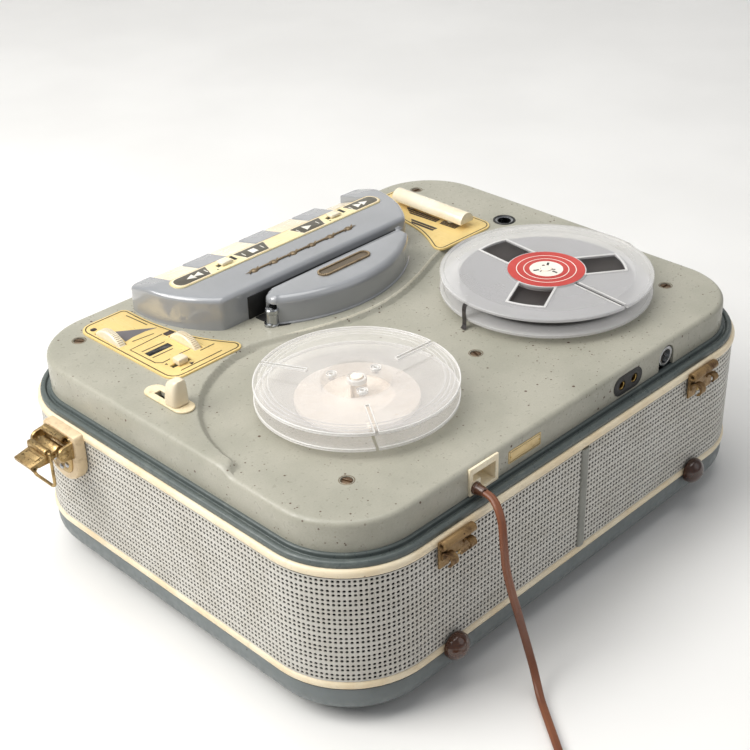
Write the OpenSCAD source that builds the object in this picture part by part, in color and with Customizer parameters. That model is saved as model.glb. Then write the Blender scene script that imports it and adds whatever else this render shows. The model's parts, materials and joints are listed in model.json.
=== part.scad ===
// Portable reel-to-reel tape recorder, lid lifted off, with two reels on the deck.
// Millimetres, +Z up, keys towards -Y, origin on the floor under the middle of the case.

/* [Case] */
// Width over the cream bands
case_w = 416; // [400:1:430]
// Depth over the cream bands
case_d = 330; // [320:1:345]
// Corner radius of the case in plan
case_r = 60; // [54:1:66]
// Height of the rubber pads under the base
pad_h = 6; // [4:0.5:8]
// Radius of the rubber pads
pad_r = 13; // [10:0.5:15]
// Height of the base tray
tray_h = 22; // [18:1:28]
// Radius of the tray's lower edge
tray_round = 15; // [10:1:16]
// Setback of the tray behind the bands
tray_set = 1; // [0.5:0.5:2]
// Wall of the base tray
tray_wall = 9; // [8:0.5:11]
// Floor of the base tray
tray_floor = 3; // [2.5:0.5:4]
// Height of each cream band
band_h = 7.5; // [6:0.5:9]
// Thickness of each cream band
band_t = 5; // [4:0.5:6]
// Height of the perforated grille
grille_h = 72; // [66:1:80]
// Thickness of the grille sheet
grille_t = 2; // [1.5:0.1:2.5]
// Setback of the grille behind the bands
grille_set = 1.2; // [0.8:0.1:2]
// Width of the strip that covers the grille's joint
joint_w = 7; // [5:0.5:9]
// Wall of the inner box
liner_t = 7; // [5:0.5:8]
// Room between the inner box and the tray
liner_gap = 0.4; // [0.3:0.1:0.6]
// Height of the rubber rim
rim_h = 5.5; // [4.5:0.5:7]

/* [Deck] */
// Setback of the deck cover behind the bands
cover_set = 10; // [9:0.5:11]
// Height of the cover's skirt up to the reel area
cover_h = 19.5; // [18.5:0.5:24]
// Round of the cover's top edge
cover_round = 6; // [4:0.5:7]
// Wall of the cover
cover_wall = 2.5; // [2.2:0.1:3]
// Step from the reel area up to the front of the deck
step_h = 4; // [3:0.5:5]
// Radius of the recess around each reel
recess_r = 96; // [94:0.5:97]
// Thickness of the steel chassis plate
chassis_t = 2; // [1.5:0.5:2.5]
// Running clearance of a shaft in its bore
run_gap = 0.05; // [0.03:0.01:0.08]
// Play around a sliding piece
slide_gap = 0.4; // [0.3:0.1:0.6]
// Head radius of the deck screws
screw_r = 4.6; // [3.5:0.1:5.5]

/* [Reels] */
// Take-up spindle, from the cover's right side
takeup_edge = 107; // [105:0.5:109]
// Right reel's place along the deck
takeup_y = 57; // [55:1:60]
// Radius of the right, clear reel
takeup_r = 63.5; // [60:0.5:68]
// Supply spindle, from the cover's left side
supply_edge = 101; // [99:0.5:103]
// Left reel's place along the deck
supply_y = 53; // [52:1:56]
// Radius of the left, milky reel
supply_r = 73.5; // [70:0.5:76]
// Height of the left reel over both flanges
supply_h = 14; // [12:0.5:16]
// Height of the right reel over both flanges
takeup_h = 12.8; // [12:0.1:16]
// Thickness of a reel's flange
flange_t = 1.6; // [1.2:0.1:2]
// Height of the reels above the reel area
reel_lift = 5; // [4:0.5:6]
// Radius of a turntable
table_r = 39; // [34:0.5:42]
// Radius of the wound tape
tape_r = 60; // [48:1:66]
// Width of the tape
tape_w = 6.3; // [6:0.1:6.5]

/* [Keys] */
// Middle of the key housing across the deck
keys_x = 5; // [3:0.5:7]
// Height of the key housing
housing_h = 23; // [21:0.5:25]
// Front of the key housing
housing_front = -140; // [-142:0.5:-138]
// Rear of the key housing, beside the tape slot
housing_back = -62; // [-64:0.5:-61.5]
// Width of one key
key_w = 26; // [24:0.5:27]
// Pitch of the keys
key_pitch = 52; // [51:0.5:52.5]
// Travel of a key in degrees
key_swing = 7; // [5:0.5:8]
// Width of the label strip
strip_w = 15; // [14:0.5:16]

/* [Head cover] */
// Radius of the head cover's curved back
head_r = 106; // [104:0.5:108]
// Height of the head cover
head_h = 20; // [18:0.5:21]
// Width of the tape slot
tape_slot = 4; // [3.5:0.5:5]

/* [Controls] */
// Thickness of the gold plates
plate_t = 1.2; // [0.8:0.1:1.6]
// Radius of the thumbwheels
wheel_r = 18; // [17:0.5:18.5]
// Thickness of the thumbwheels
wheel_t = 6; // [5:0.5:6.5]
// How far the thumbwheels stand out of the plate
wheel_out = 6.5; // [5.5:0.5:7.5]
// Travel of the slide switch
switch_travel = 16; // [12:1:18]
// Travel of the mode slide
mode_travel = 10; // [8:1:11]
// Travel of each button in the label strip
button_travel = 8; // [6:1:9]
// Travel of the pause bar
pause_travel = 3; // [2:0.5:3.5]

/* [Latches and feet] */
// Place of the latches along the sides
latch_y = -90; // [-92:1:-80]
// Width of a latch pad
latch_w = 36; // [36:0.5:40]
// Reach of the latch lever from its pin
lever_len = 22; // [20:0.5:26]
// Radius of the dome feet on the back
foot_r = 9; // [8:0.5:9.5]
// Reach of the dome feet and of the carrying handle
foot_reach = 10; // [10:0.5:12]
// Half distance between the hinges, and between the dome feet
hinge_x = 123; // [118:1:128]

/* [Cord] */
// Radius of the mains cord
cord_r = 2.6; // [2.4:0.1:2.7]
// Turns of the put-away cord in each layer
coil_turns = 3; // [3:1:4]

/* [Hidden] */
$fn = 64;

eps = 0.01;
touch_gap = 0.3;

// Levels of the case, from the floor up
z_tray = pad_h;
z_floor = z_tray + tray_floor;
z_band = z_tray + tray_h;
z_grille = z_band + band_h;
z_top_band = z_grille + grille_h;
z_rim = z_top_band + band_h;
z_chassis_top = z_rim - 1;
z_chassis = z_chassis_top - chassis_t;
z_cover = z_rim + rim_h;
z_deck = z_cover + cover_h;
z_front = z_deck + step_h;
z_plate = z_front + plate_t;
z_reel = z_deck + reel_lift;
z_ceiling = z_front - cover_wall;

// Inner box, seen from above
liner_set = tray_set + tray_wall + liner_gap;
side_inner = case_w / 2 - liner_set - liner_t;

// Deck cover outline
cover_w = case_w - 2 * cover_set;
cover_d = case_d - 2 * cover_set;
cover_r = case_r - cover_set;
cover_back = cover_d / 2;

// Reel axes
takeup_at = [cover_w / 2 - takeup_edge, takeup_y];
supply_at = [supply_edge - cover_w / 2, supply_y];
spindle_r = 3.8;
spline_r = 6;
spline_w = 1.4;
reel_play = 0.3;
spindle_out = 0.6;
table_t = 3;
table_hub_r = 12;
table_shaft_r = 5;
boss_r = 10;
z_boss = z_deck - 8;
supply_hub_r = 26;
takeup_hub_r = 22;

// Screws that hold the deck cover to the chassis
front_screws = [[cover_w / 2 - 32, -cover_d / 2 + 26], [-cover_w / 2 + 36, -cover_d / 2 + 24]];
rear_screws = [[cover_w / 2 - 44, cover_d / 2 - 43], [-cover_w / 2 + 36, cover_d / 2 - 47], [-2, 72]];
screw_boss_r = 6.5;
screw_shank_r = 2;

// Bush in the deck, left of the reels
bush_at = [-164, -41];
bush_r = 5;

// Head cover arc and tape path
head_at = [0, housing_back + tape_slot - 74];
head_front = housing_back + tape_slot;
head_wall = 2.5;
head_left = -70;
head_right = 60;
ledge_r = head_r + 10;
capstan_at = [26, head_front + 6];
capstan_r = 2.5;
capstan_shaft_r = 3;
roller_r = 7;
roller_gap = 0.5;
roller_at = [26, capstan_at[1] + capstan_r + roller_r + roller_gap];
arm_pivot = [42, capstan_at[1] + 5];
arm_post_r = 2;
arm_t = 1.6;
base_t = 2;
z_arm = z_front + base_t + 0.2;

// Belt drive above the chassis
flywheel_r = 38;
flywheel_t = 10;
bearing_r = 8;
bearing_h = 14;
motor_at = [-62, capstan_at[1] + 2];
motor_r = 32;
motor_h = 60;
motor_shaft_r = 3;
pulley_r = 7;
belt_t = 1.5;
belt_h = 4;
belt_sink = 0.05;
z_flywheel = z_chassis_top + 2;
z_belt = z_flywheel + 3;

// Key housing: the two ends are arcs about these points
end_arc_r = 81.5;
end_arc_dx = 30;
end_arc_y = -125;
housing_wall = 2.5;
z_housing = z_front + housing_h;
strip_front = -114;
key_pivot_y = -100;
z_key_pivot = z_front + 9;
key_shaft_r = 2.5;
key_play = 0.4;
first_key_x = keys_x + 1.5 * key_pitch;
strip_len = 4 * key_pitch - 14;
button_xs = [keys_x + key_pitch, keys_x - key_pitch];
strip_t = 0.8;
z_strip = z_housing + strip_t;
strip_y = strip_front + strip_w / 2;

// Control plates, mirrored about this line
plate_mid = 3;
plate_inner = 97;
plate_edge = 40;
plate_outer = cover_w / 2 - plate_edge;
plate_front = -141;
plate_back = -41;
plate_round = 10;
volume_edge = 46;
volume_at = [cover_w / 2 - volume_edge, -113];
tone_at = [121, -73];
z_wheel = z_plate + wheel_out - wheel_r;
axle_r = 2.5;
rib_t = 3;
slot_half = sqrt(pow(wheel_r, 2) - pow(z_ceiling - 1 - z_wheel, 2)) + 1.2;
mode_at = [140, -54];
window_at = [139, -78];
window_size = [19, 5.5];
switch_edge = 26;
switch_at = [cover_w / 2 - switch_edge, -25];
switch_len = 42;
switch_w = 14;
switch_rest = 7.5;
pause_at = [-133.5, -88];
pause_len = 72;
pause_w = 14;
pause_stems = [-20, 20];
pause_stem_r = 3;

// Rear openings of the cover
inlet_x = 87;
inlet_lip = 1.5;
socket_x = -54;
socket_size = [28, 12];
round_x = -96.5;
round_r = 7;
notch_r = 8.2;
rear_room = cover_h - cover_wall - 1.6;
z_rear = z_cover + (cover_h - cover_wall) / 2;
inlet_size = [23, rear_room];
inlet_depth = 16;
gland_x = inlet_x + 8;
z_gland = z_cover + 4.8;
gland_r = 3.1;
gland_flange_r = gland_r + 0.8;
gland_flange_t = 1.5;
gland_cone = 6;

// Latch
latch_face = case_w / 2;
latch_pad_t = 7;
latch_pad_h = 38;
latch_pin = [latch_face + 13, z_top_band - 2];
latch_pin_r = 1.6;
latch_ear_y = latch_w / 2 - 3;
lever_tilt = 12;
lever_w = 19;
lever_t = 1.6;
lever_barrel_r = 3.4;
bail_barrel_r = 2.6;
bail_at = 8;
bail_r = 1.1;
bail_half = lever_w / 2 + 2.6;
bail_len = 25;
bail_pivot = [
    latch_pin[0] + bail_at * cos(lever_tilt) + 4.2 * sin(lever_tilt),
    latch_pin[1] - bail_at * sin(lever_tilt) + 4.2 * cos(lever_tilt)
];

// Carrying handle on the front
front_face = -case_d / 2 + grille_set;
handle_x = 64;
handle_t = 7;
handle_y = -case_d / 2 - foot_reach + handle_t / 2;
z_handle = z_grille + grille_h / 2 + 10;
handle_drop = 24;
handle_grip_h = 16;
handle_arm_w = 8;
handle_pin_r = 1.8;
bracket_t = 4;

// Cord route, from the gland to where the coil starts
cord_level = cord_r + 0.7;
cord_route = [
    [95, cover_back + 9, z_gland], [95.5, 170, z_gland - 1], [97.5, 176, 121], [99.5, 180.5, 115],
    [101.5, 183.5, 107.5], [102.5, 185.5, 98], [102.5, 187, 87.5], [101, 188.5, 76.5],
    [99, 190, 65.5], [96.5, 191.5, 54.5], [94.5, 193, 44], [93, 195, 34],
    [92.5, 198, 24.5], [93.5, 202.5, 15.5], [96.5, 208, 8.5], [101.5, 215, cord_level + 1],
    [108.5, 224.5, cord_level], [116, 234.5, cord_level], [123.5, 244.5, cord_level],
    [131, 254.5, cord_level], [138.5, 264.5, cord_level], [146, 274.5, cord_level],
    [152, 282.5, cord_level]
];
coil_step = 2 * cord_r + 0.6;
coil_out = 40;
coil_dir = 53.13;
coil_start = cord_route[len(cord_route) - 1];
coil_entry = coil_start + 2 * cord_r * [cos(coil_dir), sin(coil_dir), 0];
coil_mid = [coil_entry[0] + coil_out * sin(coil_dir), coil_entry[1] - coil_out * cos(coil_dir)];
coil_total = 2 * coil_turns + 0.25;
coil_rings = 24;

// Place on the coil after a number of turns
function coil_radius(t) =
    t < coil_turns ? coil_out - coil_step * t : coil_out - coil_step * (2 * coil_turns - t);
function coil_rise(t) = min(1, max(0, (t - coil_turns + 0.25) / 0.5));
function smooth(s) = s * s * (3 - 2 * s);
function coil_point(t) = [
    coil_mid[0] + coil_radius(t) * cos(90 + coil_dir - 360 * t),
    coil_mid[1] + coil_radius(t) * sin(90 + coil_dir - 360 * t),
    cord_level + coil_step * smooth(coil_rise(t))
];
coil_body = [for (i = [0:coil_total * coil_rings]) coil_point(i / coil_rings)];
coil_last = len(coil_body) - 1;
coil_way = coil_body[coil_last] - coil_body[coil_last - 1];
coil_tangent = [coil_way[0], coil_way[1], 0] / norm([coil_way[0], coil_way[1]]);
coil_end = coil_body[coil_last] + 2 * cord_r * coil_tangent;
coil_points = concat([coil_start], coil_body, [coil_end]);

// Least gap between turns that are not neighbours along the tube
coil_gaps = [
    for (i = [0:4:coil_last], j = [i + coil_rings / 2:coil_last])
        norm(coil_body[i] - coil_body[j]) - 2 * cord_r
];
echo(coil_least_gap = min(coil_gaps));

// Tube swept along points, with closed ends
function unit(v) = v / norm(v);
function heading(p, i) = unit(p[min(i + 1, len(p) - 1)] - p[max(i - 1, 0)]);
function tube_ring(p, i, r, sides, side_way) =
    let (n = unit(cross(heading(p, i), side_way)), b = cross(heading(p, i), n))
    [for (k = [0:sides - 1]) p[i] + r * (cos(360 * k / sides) * n + sin(360 * k / sides) * b)];
module tube(p, r, sides, side_way) {
    rings = len(p);
    spots = [for (i = [0:rings - 1]) each tube_ring(p, i, r, sides, side_way)];
    walls = [
        for (i = [0:rings - 2], k = [0:sides - 1])
            let (a = i * sides + k, b = i * sides + (k + 1) % sides)
            each [[a, b, b + sides], [a, b + sides, a + sides]]
    ];
    start_cap = [for (k = [1:sides - 2]) [0, k + 1, k]];
    last = (rings - 1) * sides;
    end_cap = [for (k = [1:sides - 2]) [last, last + k, last + k + 1]];
    polyhedron(points = spots, faces = concat(walls, start_cap, end_cap));
}

// Rounded rectangle about the origin
module round_rect(w, d, r) {
    square([w - 2 * r, d], center = true);
    square([w, d - 2 * r], center = true);
    for (sx = [-1, 1], sy = [-1, 1])
        translate([sx * (w / 2 - r), sy * (d / 2 - r)]) circle(r);
}

// Slot with round ends along X
module slot_shape(len, w) {
    square([len - w, w], center = true);
    for (s = [-1, 1]) translate([s * (len - w) / 2, 0]) circle(w / 2);
}

// The case outline, moved in
module case_outline(inset) {
    round_rect(case_w - 2 * inset, case_d - 2 * inset, case_r - inset);
}

// Ring that follows the case
module case_ring(outer, inner, z, h) {
    translate([0, 0, z]) linear_extrude(h) difference() {
        case_outline(outer);
        case_outline(inner);
    }
}

// Disc with a rounded upper edge
module round_disc(r, h, e) {
    rotate_extrude() {
        square([r - e, h]);
        square([r, h - e]);
        intersection() {
            translate([r - e, h - e]) circle(e);
            square([r, h]);
        }
    }
}

// Cross-section of a slab with rounded upper edges
module round_slab(w, h, e) {
    translate([-w / 2, 0]) square([w, h - e]);
    translate([-w / 2 + e, 0]) square([w - 2 * e, h]);
    intersection() {
        for (s = [-1, 1]) translate([s * (w / 2 - e), h - e]) circle(e);
        translate([-w / 2, 0]) square([w, h]);
    }
}

// Pan with round corners and a rounded upper edge
module pan(w, d, r, h, e) {
    translate([0, (d - 2 * r) / 2, 0]) rotate([90, 0, 0])
        linear_extrude(d - 2 * r) round_slab(w, h, e);
    translate([-(w - 2 * r) / 2, 0, 0]) rotate([90, 0, 90])
        linear_extrude(w - 2 * r) round_slab(d, h, e);
    for (sx = [-1, 1], sy = [-1, 1])
        translate([sx * (w / 2 - r), sy * (d / 2 - r), 0]) round_disc(r, h, e);
}

// Box on its own base, centred in X and Y
module block(x, y, z, w, d, h) {
    translate([x - w / 2, y - d / 2, z]) cube([w, d, h]);
}

// Round bar along X or Y between two ends
module bar_x(x0, x1, y, z, r) {
    translate([x0, y, z]) rotate([0, 90, 0]) cylinder(r = r, h = x1 - x0);
}
module bar_y(x, y0, y1, z, r) {
    translate([x, y0, z]) rotate([-90, 0, 0]) cylinder(r = r, h = y1 - y0);
}

// Rubber pads under the corners
module foot_pads() {
    reach = case_r - tray_set - tray_round - pad_r - 1;
    color("dimgray") for (sx = [-1, 1], sy = [-1, 1]) {
        cx = sx * (case_w / 2 - case_r + reach * cos(45));
        cy = sy * (case_d / 2 - case_r + reach * sin(45));
        translate([cx, cy, 0]) cylinder(r = pad_r, h = pad_h);
    }
}

// Base tray with posts for the amplifier board
amp_back = 73;
amp_at = [20, case_d / 2 - amp_back];
amp_size = [150, 86];
amp_post_h = 6;
amp_post_r = 4;
module base_tray() {
    w = case_w - 2 * tray_set;
    d = case_d - 2 * tray_set;
    color("darkslategray") {
        difference() {
            translate([0, 0, z_band]) mirror([0, 0, 1])
                pan(w, d, case_r - tray_set, tray_h, tray_round);
            translate([0, 0, z_floor]) linear_extrude(tray_h)
                case_outline(tray_set + tray_wall);
        }
        for (sx = [-1, 1], sy = [-1, 1])
            translate([
                amp_at[0] + sx * (amp_size[0] / 2 - 8),
                amp_at[1] + sy * (amp_size[1] / 2 - 8),
                z_floor - eps
            ])
                cylinder(r = amp_post_r, h = amp_post_h + eps);
    }
}

// Cream bands above and below the grille
module cream_bands() {
    color("wheat") {
        case_ring(0, band_t, z_band, band_h);
        case_ring(0, band_t, z_top_band, band_h);
    }
}

module grille() {
    color("silver") case_ring(grille_set, grille_set + grille_t, z_grille, grille_h);
}

// Strip over the grille's joint, in the middle of the back
module joint_strip() {
    color("gray")
        translate([-joint_w / 2, case_d / 2 - grille_set, z_grille]) cube([joint_w, 1, grille_h]);
}

// Rubber rim with two lips
module rim_gasket() {
    color("dimgray") {
        case_ring(2.5, 6.5, z_rim, rim_h - 1.5);
        case_ring(6.5 - eps, 8 + eps, z_rim, rim_h - 3);
        case_ring(8, cover_set + cover_wall + 1.5, z_rim, rim_h);
    }
}

// Plywood inner box with the loudspeaker's opening
speaker_r = 46;
speaker_at = [10, z_floor + 54];
speaker_open = speaker_r - 4;
module case_liner() {
    color("tan") difference() {
        case_ring(liner_set, liner_set + liner_t, z_floor, z_chassis - z_floor);
        bar_x(side_inner - 1, case_w / 2, speaker_at[0], speaker_at[1], speaker_open);
    }
}

// Dome feet that the case stands on when it is carried upright
module back_feet() {
    color("saddlebrown") for (s = [-1, 1])
        translate([s * hinge_x, case_d / 2, z_band + 3]) rotate([-90, 0, 0]) intersection() {
            cylinder(r = foot_r, h = foot_reach);
            sphere(r = foot_reach);
        }
}

// Lift-off hinge leaves on the upper band
leaf_w = 27;
leaf_h = 17;
leaf_t = 1.5;
knuckle_r = 3;
knuckle_bore = 1.5;
leaf_notch_r = 5;
module hinge_leaves() {
    color("darkgoldenrod") for (s = [-1, 1]) translate([s * hinge_x, case_d / 2, z_rim - 3])
        difference() {
            union() {
                translate([-leaf_w / 2, 0, -leaf_h]) cube([leaf_w, leaf_t, leaf_h]);
                bar_x(-leaf_w / 2, leaf_w / 2, knuckle_r, 0, knuckle_r);
            }
            bar_y(0, -1, leaf_t + 1, -leaf_h, leaf_notch_r);
            bar_x(-leaf_w, leaf_w, knuckle_r, 0, knuckle_bore);
        }
}

// Latch pad, ears and pin on one side
module latch_plate() {
    z_low = z_rim - latch_pad_h;
    difference() {
        translate([latch_face, latch_y, 0]) rotate([90, 0, 90]) linear_extrude(latch_pad_t) {
            translate([-latch_w / 2, z_low + latch_w / 2])
                square([latch_w, latch_pad_h - latch_w / 2]);
            translate([0, z_low + latch_w / 2]) circle(latch_w / 2);
        }
        bar_x(latch_face + latch_pad_t - 1, latch_face + 2 * latch_pad_t, latch_y, z_low + 9, 3);
    }
    for (s = [-1, 1])
        translate([latch_face + latch_pad_t - eps, latch_y + s * latch_ear_y - 1, latch_pin[1] - 5])
            cube([latch_pin[0] - latch_face - latch_pad_t + 5, 2, 10]);
    bar_y(latch_pin[0], latch_y - latch_ear_y, latch_y + latch_ear_y, latch_pin[1], latch_pin_r);
}
module latch_plates() {
    color("peru") {
        latch_plate();
        mirror([1, 0, 0]) latch_plate();
    }
}

// Lever of the right latch, swung out as it hangs with the lid off
module latch_lever() {
    translate([0, latch_y + lever_w / 2, 0]) rotate([90, 0, 0]) linear_extrude(lever_w) difference() {
        union() {
            translate(latch_pin) circle(lever_barrel_r);
            translate(bail_pivot) circle(bail_barrel_r);
            translate(latch_pin) rotate(-lever_tilt) translate([0, 0.8]) square([lever_len, lever_t]);
        }
        translate(latch_pin) circle(latch_pin_r + run_gap);
        translate(bail_pivot) circle(bail_r + run_gap);
    }
}
module latch_lever_r() { color("darkgoldenrod") latch_lever(); }
module latch_lever_l() { color("darkgoldenrod") mirror([1, 0, 0]) latch_lever(); }

// Wire bail that hangs from the lever
module latch_bail() {
    low = bail_pivot[1] - bail_len;
    for (z = [bail_pivot[1], low])
        bar_y(bail_pivot[0], latch_y - bail_half - bail_r, latch_y + bail_half + bail_r, z, bail_r);
    for (s = [-1, 1])
        translate([bail_pivot[0], latch_y + s * bail_half, low]) cylinder(r = bail_r - 0.15, h = bail_len);
}
module latch_bail_r() { color("goldenrod") latch_bail(); }
module latch_bail_l() { color("goldenrod") mirror([1, 0, 0]) latch_bail(); }

// Handle brackets with their pins
module handle_brackets() {
    ear = handle_t / 2;
    pin_len = bracket_t / 2 + handle_arm_w;
    color("darkgoldenrod") for (s = [-1, 1]) {
        translate([s * handle_x - 8, front_face - 3, z_handle - 12]) cube([16, 3, 24]);
        translate([s * handle_x - bracket_t / 2, handle_y - ear, z_handle - ear])
            cube([bracket_t, front_face - handle_y + ear, handle_t]);
        bar_x(min(s * handle_x, s * (handle_x - pin_len)), max(s * handle_x, s * (handle_x - pin_len)),
            handle_y, z_handle, handle_pin_r);
    }
}

// Flat handle that lies against the front
module handle() {
    inner = handle_x - bracket_t / 2 - 1;
    arm_x = inner - handle_arm_w / 2;
    color("dimgray") difference() {
        union() {
            for (s = [-1, 1]) translate([s * arm_x, handle_y, 0]) {
                translate([-handle_arm_w / 2, -handle_t / 2, z_handle - handle_drop])
                    cube([handle_arm_w, handle_t, handle_drop]);
                bar_x(-handle_arm_w / 2, handle_arm_w / 2, 0, z_handle, handle_t / 2);
            }
            translate([-inner, handle_y, z_handle - handle_drop]) rotate([0, 90, 0])
                linear_extrude(2 * inner) slot_shape(handle_grip_h, handle_t);
        }
        bar_x(-handle_x, handle_x, handle_y, z_handle, handle_pin_r + run_gap);
    }
}

// Raised front of the deck, seen from above; g draws its edge back
module front_region(g) {
    difference() {
        translate([-case_w, -case_d]) square([2 * case_w, case_d + takeup_y - g]);
        translate(takeup_at) circle(recess_r + g);
        translate(supply_at) circle(recess_r + g);
        translate([supply_at[0], takeup_y - recess_r - g])
            square([takeup_at[0] - supply_at[0], 2 * recess_r]);
    }
    intersection() {
        translate(head_at) circle(ledge_r - g);
        translate([supply_at[0], -case_d / 2]) square([takeup_at[0] - supply_at[0], case_d / 2]);
    }
}

// Rib under the cover with the axle of a thumbwheel
module wheel_rib(at) {
    rib_x = at[0] - wheel_t / 2 - 2 - rib_t;
    translate([rib_x, at[1] - 5, z_wheel - 5]) cube([rib_t, 10, z_ceiling - z_wheel + 5 + eps]);
    bar_x(rib_x, at[0] + wheel_t / 2 + 1, at[1], z_wheel, axle_r);
}

// Cuts that the controls share with the gold plates
module control_cuts(z, h) {
    translate([0, 0, z]) linear_extrude(h) {
        for (at = [volume_at, tone_at]) translate(at)
            square([wheel_t + 2 * slide_gap, 2 * slot_half], center = true);
        translate(mode_at) square([mode_travel + 5, 3 + 2 * slide_gap], center = true);
        translate(window_at) square(window_size + [touch_gap, touch_gap], center = true);
        for (dy = pause_stems) translate(pause_at + [0, dy]) circle(pause_stem_r + slide_gap);
    }
}

// The painted deck cover
module cover_shell() {
    difference() {
        union() {
            translate([0, 0, z_cover]) pan(cover_w, cover_d, cover_r, cover_h, cover_round);
            intersection() {
                translate([0, 0, z_cover])
                    pan(cover_w, cover_d, cover_r, cover_h + step_h, cover_round);
                translate([0, 0, z_cover]) linear_extrude(cover_h + step_h) front_region(0);
            }
        }
        translate([0, 0, z_cover - 1]) linear_extrude(cover_h - cover_wall + 1)
            case_outline(cover_set + cover_wall);
        translate([0, 0, z_deck - cover_wall - 1]) linear_extrude(step_h + 1) intersection() {
            case_outline(cover_set + cover_wall + 1);
            front_region(cover_wall);
        }
    }
}
module deck_cover() {
    color("darkseagreen") difference() {
        union() {
            cover_shell();
            for (p = front_screws) translate([p[0], p[1], z_chassis_top])
                cylinder(r = screw_boss_r, h = z_front - 1 - z_chassis_top);
            for (p = rear_screws) translate([p[0], p[1], z_chassis_top])
                cylinder(r = screw_boss_r, h = z_deck - 1 - z_chassis_top);
            wheel_rib(volume_at);
            wheel_rib(tone_at);
        }
        screw_holes(front_screws, z_front);
        screw_holes(rear_screws, z_deck);
        for (p = [takeup_at, supply_at]) translate([p[0], p[1], z_boss])
            cylinder(r = table_hub_r + 1.5, h = 20);
        translate([capstan_at[0], capstan_at[1], z_deck - 10]) cylinder(r = capstan_shaft_r + 2, h = 20);
        translate([bush_at[0], bush_at[1], z_deck - 10]) cylinder(r = bush_r, h = 20);
        translate([0, 0, z_ceiling - 1]) control_cuts(0, cover_wall + 3);
        translate([switch_at[0], switch_at[1], z_ceiling - 1]) linear_extrude(cover_wall + 3)
            square([4 + 2 * slide_gap, switch_travel + 8], center = true);
        rear_cuts();
    }
}
module screw_holes(places, z) {
    for (p = places) translate([p[0], p[1], 0]) {
        translate([0, 0, z - 2]) cylinder(r = screw_r + touch_gap, h = 5);
        translate([0, 0, z_chassis_top - 1]) cylinder(r = screw_shank_r + touch_gap, h = z - z_chassis_top);
    }
}

// Openings through the back of the cover
module rear_cuts() {
    translate([0, cover_back - 5, 0]) rotate([-90, 0, 0]) linear_extrude(10) {
        translate([inlet_x, -z_rear]) square(inlet_size + [touch_gap, touch_gap], center = true);
        translate([socket_x, -z_rear]) slot_shape(socket_size[0] + touch_gap, socket_size[1] + touch_gap);
        translate([round_x, -z_rear]) circle(notch_r);
        translate([round_x - notch_r, -z_rear]) square([2 * notch_r, cover_h]);
    }
}
module deck_screws() {
    color("darkgray") {
        for (p = front_screws) deck_screw(p, z_front);
        for (p = rear_screws) deck_screw(p, z_deck);
    }
}
screw_sink = 2;
screw_head_h = 1.7;
screw_len = 14;
screw_slot = 1.2;
module deck_screw(p, z) {
    translate([p[0], p[1], z - screw_sink]) difference() {
        union() {
            cylinder(r = screw_r, h = screw_head_h);
            translate([0, 0, -screw_len]) cylinder(r = screw_shank_r, h = screw_len + eps);
        }
        translate([-screw_r - 1, -screw_slot / 2, screw_head_h / 2])
            cube([2 * screw_r + 2, screw_slot, screw_head_h]);
    }
}

// Key housing in plan; g draws its edge in
module housing_plan(g) {
    intersection() {
        union() {
            for (s = [-1, 1]) translate([keys_x + s * end_arc_dx, end_arc_y]) circle(end_arc_r - g);
            translate([keys_x - end_arc_dx, end_arc_y - end_arc_r + g])
                square([2 * end_arc_dx, 2 * (end_arc_r - g)]);
        }
        translate([keys_x - 150, housing_front + g])
            square([300, housing_back - housing_front - 2 * g]);
    }
}

// Side profile of the raised tabs between the keys, in Y and Z
module tab_profile() {
    polygon([
        [strip_front + 2, z_front], [strip_front + 2, z_housing - 1], [strip_front - 9, z_housing - 1],
        [housing_front, z_front + 12], [housing_front, z_front]
    ]);
}
module key_housing() {
    tab_half = (key_pitch - key_w) / 2 - key_play;
    bay_half = 1.5 * key_pitch + key_w / 2 + key_play;
    color("slategray") difference() {
        union() {
            difference() {
                translate([0, 0, z_front]) linear_extrude(housing_h) housing_plan(0);
                translate([0, 0, z_front - 1]) linear_extrude(housing_h - housing_wall + 1) intersection() {
                    housing_plan(housing_wall);
                    translate([keys_x - bay_half, -case_d]) square([2 * bay_half, 2 * case_d]);
                }
                translate([keys_x - bay_half, housing_front - 1, z_front - 1])
                    cube([2 * bay_half, strip_front - housing_front + 1, housing_h + 2]);
                front_slope();
            }
            for (i = [-1:1])
                translate([keys_x + i * key_pitch - tab_half, 0, 0]) rotate([90, 0, 90])
                    linear_extrude(2 * tab_half) tab_profile();
            bar_x(keys_x - bay_half - 1, keys_x + bay_half + 1, key_pivot_y, z_key_pivot, key_shaft_r);
        }
        for (x = button_xs) block(x, strip_y, z_housing - 5, button_travel + 6, 3 + 2 * slide_gap, 8);
    }
}

// The end blocks slope down to the front as the tabs do
module front_slope() {
    translate([keys_x - 150, 0, 0]) rotate([90, 0, 90]) linear_extrude(300) polygon([
        [strip_front - 9, z_housing + 1], [strip_front - 9, z_housing - 1],
        [housing_front - 1, z_front + 11.5], [housing_front - 1, z_housing + 1]
    ]);
}

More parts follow.
